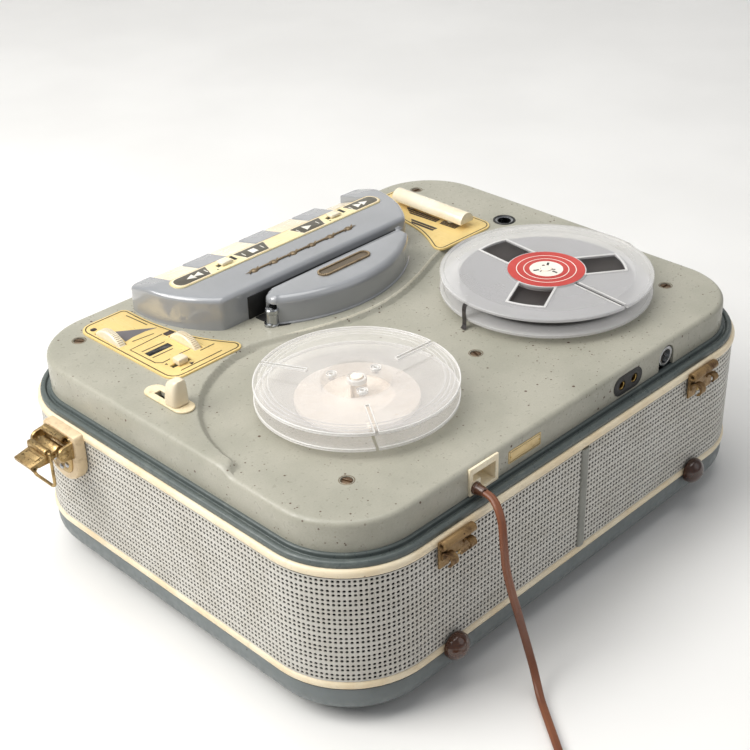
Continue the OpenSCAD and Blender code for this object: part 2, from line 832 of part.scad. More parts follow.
// One piano key; its barrel turns on the housing's shaft
module piano_key(x, swing) {
    top = z_housing - 1.2;
    translate([x, key_pivot_y, z_key_pivot]) rotate([swing, 0, 0]) difference() {
        union() {
            bar_x(-key_w / 2, key_w / 2, 0, 0, 5);
            translate([-key_w / 2, -key_pivot_y, -z_key_pivot]) rotate([90, 0, 90])
                linear_extrude(key_w) polygon([
                    [key_pivot_y, z_key_pivot + 4], [key_pivot_y, z_key_pivot - 4],
                    [housing_front + 2, z_front + 6.5], [housing_front + 1, z_front + 9],
                    [strip_front - 9, top], [strip_front - 1, top], [strip_front - 1, z_key_pivot + 4]
                ]);
        }
        bar_x(-key_w, key_w, 0, 0, key_shaft_r + run_gap);
    }
}
module key_1() { color("cornsilk") piano_key(first_key_x, 0); }
module key_2() { color("cornsilk") piano_key(first_key_x - key_pitch, 0); }
module key_3() { color("cornsilk") piano_key(first_key_x - 2 * key_pitch, 0); }
// The last key is latched down
module key_4() { color("cornsilk") piano_key(first_key_x - 3 * key_pitch, key_swing); }

module label_strip() {
    color("khaki") difference() {
        block(keys_x, strip_y, z_housing, strip_len, strip_w, strip_t);
        for (x = button_xs)
            block(x, strip_y, z_housing - 1, button_travel + 6, 3 + 2 * slide_gap, 4);
    }
}

// Button that slides along the label strip
module strip_button(x) {
    block(x, strip_y, z_strip + 0.1, 9, 7, 2.6);
    block(x, strip_y, z_housing - housing_wall - 2, 5, 3, housing_wall + strip_t + 2.2);
    block(x, strip_y, z_housing - housing_wall - 2.2, 9, 7, 2);
}
module strip_button_a() { color("bisque") strip_button(button_xs[0]); }
module strip_button_b() { color("bisque") strip_button(button_xs[1]); }

// Bronze ornament on the key housing and bare oval plate on the head cover
knots = 6;
knot_pitch = 18;
knot_size = 5.2;
knot_h = 1.6;
trim_end = 16;
trim_w = 2;
trim_h = 1;
trim_in = 21.5;
trim_y = housing_back - trim_in;
oval_in = 8.5;
oval_at = [-2.5, head_front + oval_in];
oval_size = [47, 9.5];
oval_t = 1.2;
module bronze_trim() {
    color("sienna") {
        block(keys_x, trim_y, z_housing, (knots - 1) * knot_pitch + trim_end, trim_w, trim_h);
        for (i = [0:knots - 1])
            translate([keys_x + (i - (knots - 1) / 2) * knot_pitch, trim_y, z_housing])
                rotate(45) translate([-knot_size / 2, -knot_size / 2, 0])
                    cube([knot_size, knot_size, knot_h]);
        translate([oval_at[0], oval_at[1], z_front + head_h])
            linear_extrude(oval_t) slot_shape(oval_size[0], oval_size[1]);
    }
}

// Grey cover over the heads, open towards the tape slot
module head_plan(g) {
    intersection() {
        translate(head_at) circle(head_r - g);
        translate([head_left + g, head_front - g])
            square([head_right - head_left, head_r]);
    }
}
module head_cover() {
    color("slategray") difference() {
        translate([0, 0, z_front]) linear_extrude(head_h) head_plan(0);
        translate([0, 0, z_front - 1]) linear_extrude(head_h - head_wall + 1) head_plan(head_wall);
    }
}

// Gold control plates on both sides of the keys
module plate_shape() {
    difference() {
        translate([(plate_inner + plate_outer) / 2, (plate_front + plate_back) / 2])
            round_rect(plate_outer - plate_inner, plate_back - plate_front, plate_round);
        translate([keys_x + end_arc_dx, end_arc_y]) circle(end_arc_r + 4.5);
    }
}
module gold_plates() {
    color("gold") difference() {
        translate([0, 0, z_front]) linear_extrude(plate_t) {
            plate_shape();
            translate([2 * plate_mid, 0]) mirror([1, 0]) plate_shape();
        }
        control_cuts(z_front - 1, plate_t + 2);
    }
}

// Thumbwheel about X
module thumbwheel(at) {
    difference() {
        bar_x(at[0] - wheel_t / 2, at[0] + wheel_t / 2, at[1], z_wheel, wheel_r);
        bar_x(at[0] - wheel_t, at[0] + wheel_t, at[1], z_wheel, axle_r + run_gap);
    }
}
module volume_wheel() { color("cornsilk") thumbwheel(volume_at); }
module tone_wheel() { color("ivory") thumbwheel(tone_at); }

// Small knob that slides across the right plate
module mode_knob() {
    color("cornsilk") {
        block(mode_at[0], mode_at[1], z_plate + 0.1, 8, 7, 4.5);
        block(mode_at[0], mode_at[1], z_ceiling - 2, 4, 3, z_plate - z_ceiling + 2.2);
        block(mode_at[0], mode_at[1], z_ceiling - 2.2, 9, 7, 2);
    }
}

// Level indicator tube under its dark window
module level_indicator() {
    color("black") {
        translate([window_at[0], window_at[1], 0]) {
            block(0, 0, z_ceiling - 1, window_size[0], window_size[1], z_plate - z_ceiling + 1);
            block(0, 0, z_ceiling - 14, window_size[0] + 4, window_size[1] + 5, 14);
        }
    }
}

// Slide switch on the deck
module switch_plate() {
    color("wheat") translate([switch_at[0], switch_at[1], z_front]) linear_extrude(1.4) difference() {
        rotate(90) slot_shape(switch_len, switch_w);
        square([4 + 2 * slide_gap, switch_travel + 8], center = true);
    }
}
module switch_knob() {
    color("cornsilk") {
        block(switch_at[0], switch_at[1] + switch_rest, z_front + 1.5, 11, 11, 17.5);
        block(switch_at[0], switch_at[1] + switch_rest, z_ceiling - 2, 4, 7, cover_wall + 4);
        block(switch_at[0], switch_at[1] + switch_rest, z_ceiling - 2.2, 9, 11, 2);
    }
}

// Long press bar on the left plate
module pause_bar() {
    lift = pause_travel + 0.8;
    color("cornsilk") {
        translate([pause_at[0], pause_at[1] + pause_len / 2, z_plate + lift]) rotate([90, 0, 0])
            linear_extrude(pause_len) intersection() {
                translate([0, 1]) circle(pause_w / 2);
                translate([-pause_w / 2, 0]) square([pause_w, pause_w]);
            }
        for (dy = pause_stems) translate([pause_at[0], pause_at[1] + dy, 0]) {
            translate([0, 0, z_ceiling - 4])
                cylinder(r = pause_stem_r, h = z_plate + lift + 5 - z_ceiling);
            translate([0, 0, z_ceiling - 2.2]) cylinder(r = pause_stem_r + 2, h = 2);
        }
    }
}

// Cream frame of the mains compartment in the back
module inlet_frame() {
    w = inlet_size[0];
    h = inlet_size[1];
    wall = 1.6;
    left = inlet_x - w / 2 + wall;
    low = z_rear - h / 2;
    shelf = z_gland + gland_flange_r + 0.8;
    rear = cover_back - inlet_depth;
    color("wheat") difference() {
        union() {
            translate([inlet_x - w / 2, rear, low]) cube([w, inlet_depth + eps, h]);
            translate([inlet_x - w / 2 - 1, cover_back, low - 0.5]) cube([w + 2, inlet_lip, h + 3]);
        }
        translate([left, rear + wall, shelf])
            cube([w - 2 * wall, inlet_depth + wall, low + h - wall - shelf]);
        translate([left, rear + wall, low + wall])
            cube([gland_x - gland_flange_r - 0.8 - left, inlet_depth + wall, h - 2 * wall]);
        bar_y(gland_x, rear - 1, cover_back + inlet_depth, z_gland, gland_r + touch_gap);
    }
}

// Strain relief that the cord comes out of
module cord_gland() {
    color("saddlebrown") {
        bar_y(gland_x, cover_back - inlet_depth + 2, cover_back + inlet_lip, z_gland, gland_r);
        translate([gland_x, cover_back + inlet_lip, z_gland]) rotate([-90, 0, 0]) {
            cylinder(r = gland_flange_r, h = gland_flange_t);
            translate([0, 0, gland_flange_t - eps])
                cylinder(r1 = gland_r + 0.4, r2 = cord_r + 0.2, h = gland_cone + eps);
        }
    }
}

// Stadium insert with two sockets
module socket_block() {
    color("black") difference() {
        union() {
            translate([socket_x, cover_back - 14, z_rear]) rotate([-90, 0, 0])
                linear_extrude(14.5) slot_shape(socket_size[0], socket_size[1]);
            translate([socket_x - 18, cover_back - 14, z_rear - 7]) cube([36, 14 - cover_wall, 14]);
        }
        for (s = [-1, 1]) bar_y(socket_x + s * 6.5, cover_back - 8, cover_back + 2, z_rear, 3.2);
    }
}
module round_socket() {
    color("silver") difference() {
        union() {
            bar_y(round_x, cover_back - 16, cover_back - 0.5, z_rear, round_r);
            translate([round_x - 11, cover_back - 16, z_rear - 7]) cube([22, 16 - cover_wall, 14]);
        }
        bar_y(round_x, cover_back - 12, cover_back + 1, z_rear, round_r - 2);
    }
}

module cord() { color("sienna") tube(cord_route, cord_r, 8, [1, 0, 0]); }
module cord_coil() { color("sienna") tube(coil_points, cord_r, 6, [0, 0, 1]); }

// Strap round the turns
module cord_tie() {
    inner = coil_out - coil_step * coil_turns - cord_r - 0.6;
    outer = coil_out + cord_r + 0.6;
    high = cord_level + coil_step + cord_r + 0.6;
    color("black") translate([coil_mid[0], coil_mid[1], 0]) rotate(-30) difference() {
        translate([inner - 0.6, -4, 0]) cube([outer - inner + 1.2, 8, high + 0.6]);
        translate([inner, -5, 0.6]) cube([outer - inner, 10, high - 0.6]);
    }
}

// Two-pin plug at the end of the coil
module mains_plug() {
    turn = atan2(coil_tangent[1], coil_tangent[0]);
    color("saddlebrown") translate(coil_end) rotate([0, 90, turn]) {
        cylinder(r1 = cord_r + 1, r2 = 6, h = 8);
        translate([0, 0, 8 - eps]) cylinder(r = coil_end[2] - 0.2, h = 22);
        for (s = [-1, 1]) translate([0, s * 4.5, 30 - 2 * eps]) cylinder(r = 2, h = 14);
    }
}

// Steel chassis with the bearings
module chassis_plate() {
    color("silver") difference() {
        union() {
            translate([0, 0, z_chassis]) linear_extrude(chassis_t) case_outline(liner_set + 0.5);
            for (p = [takeup_at, supply_at]) translate([p[0], p[1], z_chassis])
                cylinder(r = boss_r, h = z_boss - z_chassis);
            translate([capstan_at[0], capstan_at[1], z_chassis - bearing_h])
                cylinder(r = bearing_r, h = z_flywheel - z_chassis + bearing_h);
        }
        for (p = [takeup_at, supply_at]) translate([p[0], p[1], z_chassis - 1])
            cylinder(r = table_shaft_r + run_gap, h = 40);
        translate([capstan_at[0], capstan_at[1], z_chassis - bearing_h - 1])
            cylinder(r = capstan_shaft_r + run_gap, h = 40);
        translate([motor_at[0], motor_at[1], z_chassis - 1]) cylinder(r = motor_shaft_r + 3, h = 10);
    }
}

// Turntable with its splined spindle
module turntable(p, reel_h) {
    translate([p[0], p[1], 0]) {
        translate([0, 0, z_chassis - 8]) cylinder(r = table_shaft_r, h = z_boss - z_chassis + 8);
        translate([0, 0, z_boss]) cylinder(r = table_hub_r, h = z_reel - table_t - z_boss + eps);
        translate([0, 0, z_reel - table_t]) cylinder(r = table_r, h = table_t);
        translate([0, 0, z_reel - eps]) cylinder(r = spindle_r, h = reel_h + spindle_out);
        for (k = [0:2]) rotate(k * 120) translate([0, -spline_w / 2, z_reel - eps])
            cube([spline_r, spline_w, reel_h - spindle_out]);
    }
}
module turntable_supply() { color("cornsilk") turntable(supply_at, supply_h); }
module turntable_takeup() { color("cornsilk") turntable(takeup_at, takeup_h); }

// Reel with two flanges, a hub and a splined bore
module reel(p, r, hub_r, reel_h) {
    translate([p[0], p[1], z_reel]) difference() {
        union() {
            cylinder(r = r, h = flange_t);
            cylinder(r = hub_r, h = reel_h);
            translate([0, 0, reel_h - flange_t]) cylinder(r = r, h = flange_t);
        }
        translate([0, 0, -1]) cylinder(r = spindle_r + reel_play, h = reel_h + 2);
        for (k = [0:2]) rotate(k * 120) translate([0, -spline_w / 2 - reel_play, -1])
            cube([spline_r + reel_play, spline_w + 2 * reel_play, reel_h + 2]);
    }
}

// Windows and threading slit in the upper flange of the left reel
hub_edge = 1.5;
window_in = supply_hub_r + hub_edge;
window_out = 54;
window_w = 24;
window_turn = 24;
supply_slit_turn = 84;
supply_slit_w = 3;
module reel_window() {
    difference() {
        translate([0, -window_w / 2]) square([window_out, window_w]);
        circle(window_in);
    }
}
module supply_reel() {
    color("whitesmoke") difference() {
        reel(supply_at, supply_r, supply_hub_r, supply_h);
        translate([supply_at[0], supply_at[1], z_reel + supply_h - flange_t - 1])
            linear_extrude(flange_t + 2) {
                for (k = [0:2]) rotate(window_turn + k * 120) reel_window();
                rotate(supply_slit_turn) translate([window_in, -supply_slit_w / 2])
                    square([supply_r, supply_slit_w]);
            }
    }
}

// Right reel with three threading slits in its upper flange
takeup_slit_turn = 56;
takeup_slit_w = 2.4;
takeup_slit_in = takeup_hub_r + 6;
module takeup_reel() {
    color("white", 0.4) difference() {
        reel(takeup_at, takeup_r, takeup_hub_r, takeup_h);
        for (k = [0:2]) translate([takeup_at[0], takeup_at[1], z_reel + takeup_h - flange_t - 1])
            rotate(takeup_slit_turn + k * 120) translate([takeup_slit_in, -takeup_slit_w / 2, 0])
                cube([takeup_r, takeup_slit_w, flange_t + 2]);
    }
}
module tape_pack() {
    color("black") translate([supply_at[0], supply_at[1], z_reel + (supply_h - tape_w) / 2]) difference() {
        cylinder(r = tape_r, h = tape_w);
        translate([0, 0, -1]) cylinder(r = supply_hub_r + touch_gap, h = tape_w + 2);
    }
}

// Heads, guides and the pinch arm's post on one base
base_depth = 40;
tape_head_h = 10.5;
erase_head_x = -40;
play_head_x = -6;
inner_guide_x = head_left + 13;
outer_guide_x = head_right + 7;
outer_guide_h = 13;
arm_post_h = 5;
module head_block() {
    z = z_front + base_t - eps;
    color("silver") difference() {
        union() {
            translate([0, 0, z_front]) linear_extrude(base_t) intersection() {
                translate(head_at) circle(head_r - head_wall - 0.6);
                translate([head_left + 6, head_front + 0.5])
                    square([head_right - head_left - 10, base_depth]);
            }
            block(erase_head_x, head_front + 7.5, z, 12, 13, tape_head_h);
            block(play_head_x, head_front + 8, z, 14, 14, tape_head_h);
            translate([inner_guide_x, head_front + 4, z]) cylinder(r = 2, h = tape_head_h);
            translate([arm_pivot[0], arm_pivot[1], z]) cylinder(r = arm_post_r, h = arm_post_h);
            translate([outer_guide_x, head_front + 8, z_front]) cylinder(r = 4, h = 2);
            translate([outer_guide_x, head_front + 8, z_front]) cylinder(r = 2.5, h = outer_guide_h);
        }
        translate([capstan_at[0], capstan_at[1], z_front - 1]) cylinder(r = capstan_shaft_r + 2, h = 5);
    }
}
module pinch_arm() {
    reach = roller_at - arm_pivot;
    color("gray") difference() {
        translate([0, 0, z_arm]) {
            linear_extrude(arm_t) {
                translate(arm_pivot) circle(4);
                translate(roller_at) circle(4);
                translate(arm_pivot) rotate(atan2(reach[1], reach[0]))
                    translate([0, -3]) square([norm(reach), 6]);
            }
            translate([roller_at[0], roller_at[1], 0]) cylinder(r = arm_post_r, h = arm_t + 8);
        }
        translate([arm_pivot[0], arm_pivot[1], z_arm - 1]) cylinder(r = arm_post_r + run_gap, h = 10);
    }
}
module pinch_roller() {
    color("dimgray") translate([roller_at[0], roller_at[1], z_arm + arm_t + 0.2]) difference() {
        cylinder(r = roller_r, h = 7);
        translate([0, 0, -1]) cylinder(r = arm_post_r + run_gap, h = 10);
    }
}

// Flywheel with the capstan on its shaft
module flywheel() {
    color("silver") translate([capstan_at[0], capstan_at[1], 0]) {
        shaft_low = z_chassis - bearing_h - 2;
        z_top = z_flywheel + flywheel_t;
        translate([0, 0, shaft_low]) cylinder(r = capstan_shaft_r, h = z_flywheel - shaft_low + eps);
        translate([0, 0, z_flywheel]) cylinder(r = flywheel_r, h = flywheel_t);
        translate([0, 0, z_top - eps])
            cylinder(r = capstan_r, h = z_front + head_h - head_wall - 0.8 - z_top);
    }
}

// Motor hung under the chassis
shaft_depth = 25;
module motor() {
    color("gray") translate([motor_at[0], motor_at[1], z_chassis - motor_h]) difference() {
        union() {
            cylinder(r = motor_r, h = motor_h);
            for (s = [-1, 1]) block(s * (motor_r - 2), 0, motor_h - 3, 16, 14, 3);
        }
        translate([0, 0, motor_h - shaft_depth]) cylinder(r = motor_shaft_r + run_gap, h = shaft_depth + 1);
    }
}
module motor_pulley() {
    color("goldenrod") translate([motor_at[0], motor_at[1], 0]) {
        shaft_low = z_chassis - shaft_depth + 1;
        translate([0, 0, shaft_low]) cylinder(r = motor_shaft_r, h = z_belt + belt_h + 4 - shaft_low);
        translate([0, 0, z_belt - 2]) cylinder(r = pulley_r, h = belt_h + 4);
    }
}

// Outline round both pulleys at a distance g
module belt_outline(g) {
    span = capstan_at - motor_at;
    far = norm(span);
    lean = asin((flywheel_r - pulley_r) / far);
    small = pulley_r + g;
    large = flywheel_r + g;
    small_run = (small - belt_sink) * [-sin(lean), cos(lean)];
    large_run = (large - belt_sink) * [-sin(lean), cos(lean)];
    translate(motor_at) rotate(atan2(span[1], span[0])) {
        circle(small);
        translate([far, 0]) circle(large);
        polygon([
            small_run, [far, 0] + large_run,
            [far + large_run[0], -large_run[1]], [small_run[0], -small_run[1]]
        ]);
    }
}
module drive_belt() {
    color("black") translate([0, 0, z_belt]) linear_extrude(belt_h) difference() {
        belt_outline(touch_gap + belt_t);
        belt_outline(touch_gap);
    }
}

// Electronics on the tray's floor
transformer_core = [56, 70, 58];
transformer_coil = [76, 46, 42];
transformer_side = 17.6;
transformer_x = -side_inner + transformer_side + transformer_coil[0] / 2;
module transformer() {
    coil_z = z_floor + (transformer_core[2] - transformer_coil[2]) / 2;
    color("dimgray") {
        for (part = [[transformer_core, z_floor], [transformer_coil, coil_z]])
            block(transformer_x, amp_at[1], part[1], part[0][0], part[0][1], part[0][2]);
    }
}
valve_r = 10;
valve_h = 52;
valve_pitch = 36;
valve_row = 16;
board_t = 2;
module amplifier() {
    valve_z = z_floor + amp_post_h + board_t - eps;
    color("darkkhaki") {
        block(amp_at[0], amp_at[1], z_floor + amp_post_h, amp_size[0], amp_size[1], board_t);
        for (i = [-1.5:1.5]) translate([amp_at[0] + valve_pitch * i, amp_at[1] + valve_row, valve_z])
            cylinder(r = valve_r, h = valve_h);
    }
}

// Loudspeaker screwed to the inner box behind the right side's grille
speaker_flange = 3;
speaker_depth = 22;
magnet_r = 24;
magnet_h = 20;
module loudspeaker() {
    color("dimgray") translate([side_inner, speaker_at[0], speaker_at[1]]) rotate([0, -90, 0]) {
        difference() {
            union() {
                cylinder(r = speaker_r, h = speaker_flange);
                cylinder(r1 = speaker_open, r2 = magnet_r - 4, h = speaker_depth);
            }
            translate([0, 0, -eps])
                cylinder(r1 = speaker_open - 2, r2 = magnet_r - 8, h = speaker_depth - 3);
        }
        translate([0, 0, speaker_depth - eps]) cylinder(r = magnet_r, h = magnet_h);
    }
}

base_tray();
foot_pads();
cream_bands();
grille();
joint_strip();
rim_gasket();
case_liner();
back_feet();
hinge_leaves();
latch_plates();
latch_lever_r();
latch_lever_l();
latch_bail_r();
latch_bail_l();
handle_brackets();
handle();
deck_cover();
deck_screws();
key_housing();
key_1();
key_2();
key_3();
key_4();
label_strip();
strip_button_a();
strip_button_b();
bronze_trim();
head_cover();
gold_plates();
volume_wheel();
tone_wheel();
mode_knob();
level_indicator();
switch_plate();
switch_knob();
pause_bar();
inlet_frame();
socket_block();
round_socket();
cord_gland();
cord();
cord_coil();
cord_tie();
mains_plug();
chassis_plate();
motor();
motor_pulley();
drive_belt();
flywheel();
pinch_arm();
pinch_roller();
head_block();
turntable_supply();
turntable_takeup();
supply_reel();
takeup_reel();
tape_pack();
transformer();
amplifier();
loudspeaker();
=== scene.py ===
# %% [markdown]
# # A portable tape recorder with two reels
# The CAD parts hold every joint, bore and size. This lesson dresses them. It softens hard edges, adds what
# is too fine for the solids, such as holes, prints, ribs and rivets, and gives every surface the finish it
# has on a machine that has been used for many years. All sizes below are in millimetres, in the frame of
# the CAD parts.

# %% Load the frame
import json
import math

import bmesh
import bpy
from mathutils import Matrix, Vector
from mathutils.geometry import delaunay_2d_cdt


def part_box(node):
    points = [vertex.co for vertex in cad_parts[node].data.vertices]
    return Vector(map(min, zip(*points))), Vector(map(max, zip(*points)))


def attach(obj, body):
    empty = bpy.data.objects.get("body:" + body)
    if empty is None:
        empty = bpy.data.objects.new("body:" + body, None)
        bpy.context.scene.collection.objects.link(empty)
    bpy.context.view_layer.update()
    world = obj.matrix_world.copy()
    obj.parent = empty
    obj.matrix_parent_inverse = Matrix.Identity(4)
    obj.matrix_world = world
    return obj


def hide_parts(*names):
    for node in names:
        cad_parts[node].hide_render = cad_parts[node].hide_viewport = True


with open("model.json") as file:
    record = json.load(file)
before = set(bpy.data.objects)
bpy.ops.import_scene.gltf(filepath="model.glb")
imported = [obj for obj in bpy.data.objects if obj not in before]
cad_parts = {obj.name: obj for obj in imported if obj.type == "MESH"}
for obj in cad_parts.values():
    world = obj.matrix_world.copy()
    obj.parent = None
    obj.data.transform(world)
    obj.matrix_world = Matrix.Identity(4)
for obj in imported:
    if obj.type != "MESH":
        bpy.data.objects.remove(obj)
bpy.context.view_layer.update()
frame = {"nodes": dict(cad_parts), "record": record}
MM = 0.001

# %% [markdown]
# The camera stands where the photograph was taken: behind the machine, on the operator's right. Its place,
# lens and small roll were worked out from the case's edges and the reels, so each piece lands on its own
# pixels.

# %% Camera
CAMERA_AT = Vector((596.9, 589.3, 597.9))
CAMERA_TURN = 135.58
CAMERA_RISE = 30.9
CAMERA_ROLL = -1.77
LENS = 67.63
SENSOR = 36


def photo_camera():
    turn, rise, roll = (math.radians(a) for a in (CAMERA_TURN, CAMERA_RISE, CAMERA_ROLL))
    back = Vector((math.sin(turn) * math.cos(rise), -math.cos(turn) * math.cos(rise), math.sin(rise)))
    right = (-back).cross(Vector((0, 0, 1))).normalized()
    up = right.cross(-back)
    side = math.cos(roll) * right + math.sin(roll) * up
    head = -math.sin(roll) * right + math.cos(roll) * up
    data = bpy.data.cameras.new("photo_camera")
    data.lens, data.sensor_width, data.sensor_fit = LENS, SENSOR, "AUTO"
    camera = bpy.data.objects.new("photo_camera", data)
    bpy.context.scene.collection.objects.link(camera)
    axes = Matrix((side, head, back)).transposed().to_4x4()
    camera.matrix_world = Matrix.Translation(CAMERA_AT * MM) @ axes
    bpy.context.scene.camera = camera
    return camera


print("camera at", tuple(round(c, 3) for c in photo_camera().location))

# %% [markdown]
# A finish is a small tree of shader nodes. Patterns read Object coordinates, scaled here so that one unit
# is one millimetre: a noise of scale 0.5 then has features about two millimetres across. The class below
# keeps the trees short: it makes the shader, and each method adds one kind of pattern.

# %% Finishes: the builder
def srgb(r, g, b):
    def channel(v):
        v /= 255
        return v / 12.92 if v <= 0.04045 else ((v + 0.055) / 1.055) ** 2.4
    return (channel(r), channel(g), channel(b), 1.0)


class Finish:
    """One material: a Principled shader and the patterns that feed it."""

    def __init__(self, name, colour, rough=0.5, metal=0.0, **sockets):
        self.material = bpy.data.materials.new(name)
        self.material.use_nodes = True
        self.tree = self.material.node_tree
        self.shader = self.tree.nodes["Principled BSDF"]
        self.set(base_color=colour, roughness=rough, metallic=metal, **sockets)
        self.height = None

    def set(self, **sockets):
        for key, value in sockets.items():
            self.shader.inputs[key.replace("_", " ").title().replace("Ior", "IOR")].default_value = value

    def node(self, kind, **inputs):
        made = self.tree.nodes.new(kind)
        for key, value in inputs.items():
            socket = made.inputs[int(key[1:]) if key[1:].isdigit() else key.replace("_", " ").title()]
            self.feed(socket, value)
        return made

    def feed(self, socket, value):
        if isinstance(value, bpy.types.NodeSocket):
            self.tree.links.new(value, socket)
        else:
            socket.default_value = value

    def place(self, centre=(0, 0, 0), stretch=(1, 1, 1), turn=(0, 0, 0)):
        """Object coordinates in millimetres about a centre."""
        spot = self.node("ShaderNodeTexCoord").outputs["Object"]
        shift = self.node("ShaderNodeVectorMath", i0=spot, i1=tuple(-c * MM for c in centre))
        mapping = self.node("ShaderNodeMapping", vector=shift.outputs[0], rotation=turn)
        mapping.inputs["Scale"].default_value = tuple(s / MM for s in stretch)
        return mapping.outputs[0]

    def noise(self, scale, detail=2.0, rough=0.5, where=None):
        made = self.node("ShaderNodeTexNoise", vector=where or self.place(), scale=scale, detail=detail)
        made.inputs["Roughness"].default_value = rough
        return made.outputs[0]

    def math(self, how, a, b=0.0, c=0.0):
        made = self.node("ShaderNodeMath", i0=a, i1=b, i2=c)
        made.operation = how
        return made.outputs[0]

    def step(self, value, low, high, to_low=0.0, to_high=1.0):
        """A smooth step of a value from low to high."""
        made = self.node("ShaderNodeMapRange", value=value)
        made.interpolation_type = "SMOOTHSTEP"
        for key, number in (("From Min", low), ("From Max", high), ("To Min", to_low), ("To Max", to_high)):
            made.inputs[key].default_value = number
        return made.outputs[0]

    def specks(self, pitch, radius, share, where=None):
        """Round spots in a random share of the cells of a grid: 1 on a spot, 0 off it."""
        cells = self.node("ShaderNodeTexVoronoi", vector=where or self.place(), scale=1 / pitch)
        luck = self.node("ShaderNodeSeparateColor", i0=cells.outputs["Color"])
        size = self.math("MULTIPLY", luck.outputs[1], radius / pitch)
        inside = self.math("SUBTRACT", size, cells.outputs["Distance"])
        spot = self.step(inside, -0.02, 0.03)
        chosen = self.math("LESS_THAN", luck.outputs[0], share)
        return self.math("MULTIPLY", spot, chosen)

    def mix(self, amount, a, b):
        made = self.node("ShaderNodeMix")
        made.data_type = "RGBA"
        self.feed(made.inputs[0], amount)
        self.feed(made.inputs[6], a)
        self.feed(made.inputs[7], b)
        return made.outputs[2]

    def colour(self, socket):
        self.feed(self.shader.inputs["Base Color"], socket)
        return self

    def roughness(self, value, low, high):
        self.feed(self.shader.inputs["Roughness"], self.step(value, 0.25, 0.75, low, high))
        return self

    def bump(self, height, depth, strength=1.0):
        """Relief of a given depth in millimetres; several calls add up."""
        made = self.node("ShaderNodeBump", height=height, strength=strength)
        made.inputs["Distance"].default_value = depth * MM
        if self.height is not None:
            self.feed(made.inputs["Normal"], self.height)
        self.height = made.outputs[0]
        self.feed(self.shader.inputs["Normal"], self.height)
        return self


# %% [markdown]
# Painted and moulded finishes. The deck's grey-green paint has a faint hammered relief and rust specks. The
# cream bands and keys have yellowed in patches. Grey plastic is glossy, with fine scuffs that only the
# roughness shows.

# %% Finishes: paint and plastic
def speckled_paint(name, light, dark, rust, spotty, rough=0.42):
    f = Finish(name, light, rough, specular_ior_level=0.5)
    cloud = f.noise(0.02, 4, 0.6)
    body = f.mix(f.step(cloud, 0.35, 0.7), light, dark)
    grain = f.noise(0.9, 3, 0.6)
    body = f.mix(f.step(grain, 0.35, 0.75, 0, 0.22), body, srgb(120, 122, 104))
    patch = f.step(f.noise(0.035, 3), 0.42, 0.62)
    rare = f.specks(6.0, 1.0, spotty)
    small = f.math("MULTIPLY", f.specks(3.0, 0.7, 2.2 * spotty), patch)
    spots = f.math("MAXIMUM", rare, small)
    f.colour(f.mix(spots, body, f.mix(f.noise(0.6), rust, srgb(70, 45, 30))))
    f.roughness(f.math("ADD", f.noise(0.25, 3), f.math("MULTIPLY", spots, 0.5)), rough - 0.08, rough + 0.2)
    f.bump(f.noise(0.45, 2), 0.03, 0.4)
    return f.bump(spots, 0.04, 0.4).material


def aged_enamel(name, fresh, yellowed, grime, rough=0.35, grime_share=0.35):
    f = Finish(name, fresh, rough, specular_ior_level=0.5)
    patches = f.noise(0.03, 4, 0.65)
    body = f.mix(f.step(patches, 0.35, 0.7), fresh, yellowed)
    dirt = f.step(f.noise(0.16, 5, 0.7), 0.56, 0.78, 0, grime_share)
    chips = f.specks(7.0, 0.9, 0.12)
    f.colour(f.mix(chips, f.mix(dirt, body, grime), grime))
    f.roughness(f.noise(0.3, 4), rough - 0.1, rough + 0.18)
    return f.bump(f.noise(0.2, 3), 0.05, 0.4).material


def moulded_plastic(name, colour, tint, rough=0.3, grain=0.006, coat=0.0):
    f = Finish(name, colour, rough, coat_weight=coat, coat_roughness=0.15)
    f.colour(f.mix(f.step(f.noise(0.025, 3), 0.35, 0.7), colour, tint))
    f.roughness(f.noise(0.12, 4, 0.6), rough - 0.05, rough + 0.07)
    return f.bump(f.noise(0.35, 2), grain, 0.5).material


DECK_PAINT = speckled_paint("deck_paint", srgb(171, 168, 154), srgb(158, 156, 142),
                            srgb(82, 58, 42), 0.28, 0.32)
# A lighter paint for the top of the step: partly wear, partly a painted highlight of its rounded edge.
DECK_WORN_HIGHLIGHT = speckled_paint("deck_worn", srgb(214, 209, 192), srgb(196, 190, 172),
                           srgb(130, 110, 84), 0.05, 0.3)
TRAY_PAINT = speckled_paint("tray_paint", srgb(110, 117, 119), srgb(99, 106, 108),
                            srgb(84, 84, 74), 0.03, 0.38)
GRILLE_PAINT = aged_enamel("grille_paint", srgb(199, 196, 188), srgb(189, 185, 175),
                           srgb(150, 138, 118), 0.36, 0.2)
BAND_CREAM = aged_enamel("band_cream", srgb(234, 221, 193), srgb(226, 206, 170), srgb(150, 122, 92))
FRAME_CREAM = aged_enamel("frame_cream", srgb(240, 228, 200), srgb(232, 214, 176), srgb(140, 110, 80), 0.3)
SWITCH_CREAM = aged_enamel("switch_cream", srgb(238, 226, 194), srgb(222, 196, 148),
                           srgb(140, 92, 54), 0.3, 0.8)
KEY_CREAM = moulded_plastic("key_cream", srgb(238, 229, 206), srgb(230, 214, 184), 0.24, 0.002, 0.3)
PLATTER_PEACH = aged_enamel("platter_peach", srgb(246, 234, 219), srgb(240, 224, 205),
                            srgb(206, 180, 150), 0.26, 0.2)
HOUSING_GREY = moulded_plastic("housing_grey", srgb(151, 153, 156), srgb(146, 148, 150), 0.14, 0.001, 1.0)
STRIP_GREY = moulded_plastic("strip_grey", srgb(142, 142, 134), srgb(126, 126, 118), 0.4)
DARK_PLATE = moulded_plastic("dark_plate", srgb(98, 94, 82), srgb(84, 80, 70), 0.35)
# Near-black plastic; on the tape slot's lining and floor it stands for painted shade.
BLACK_PLASTIC_AND_SHADE = moulded_plastic("black_plastic", srgb(24, 23, 22), srgb(17, 16, 15), 0.5)
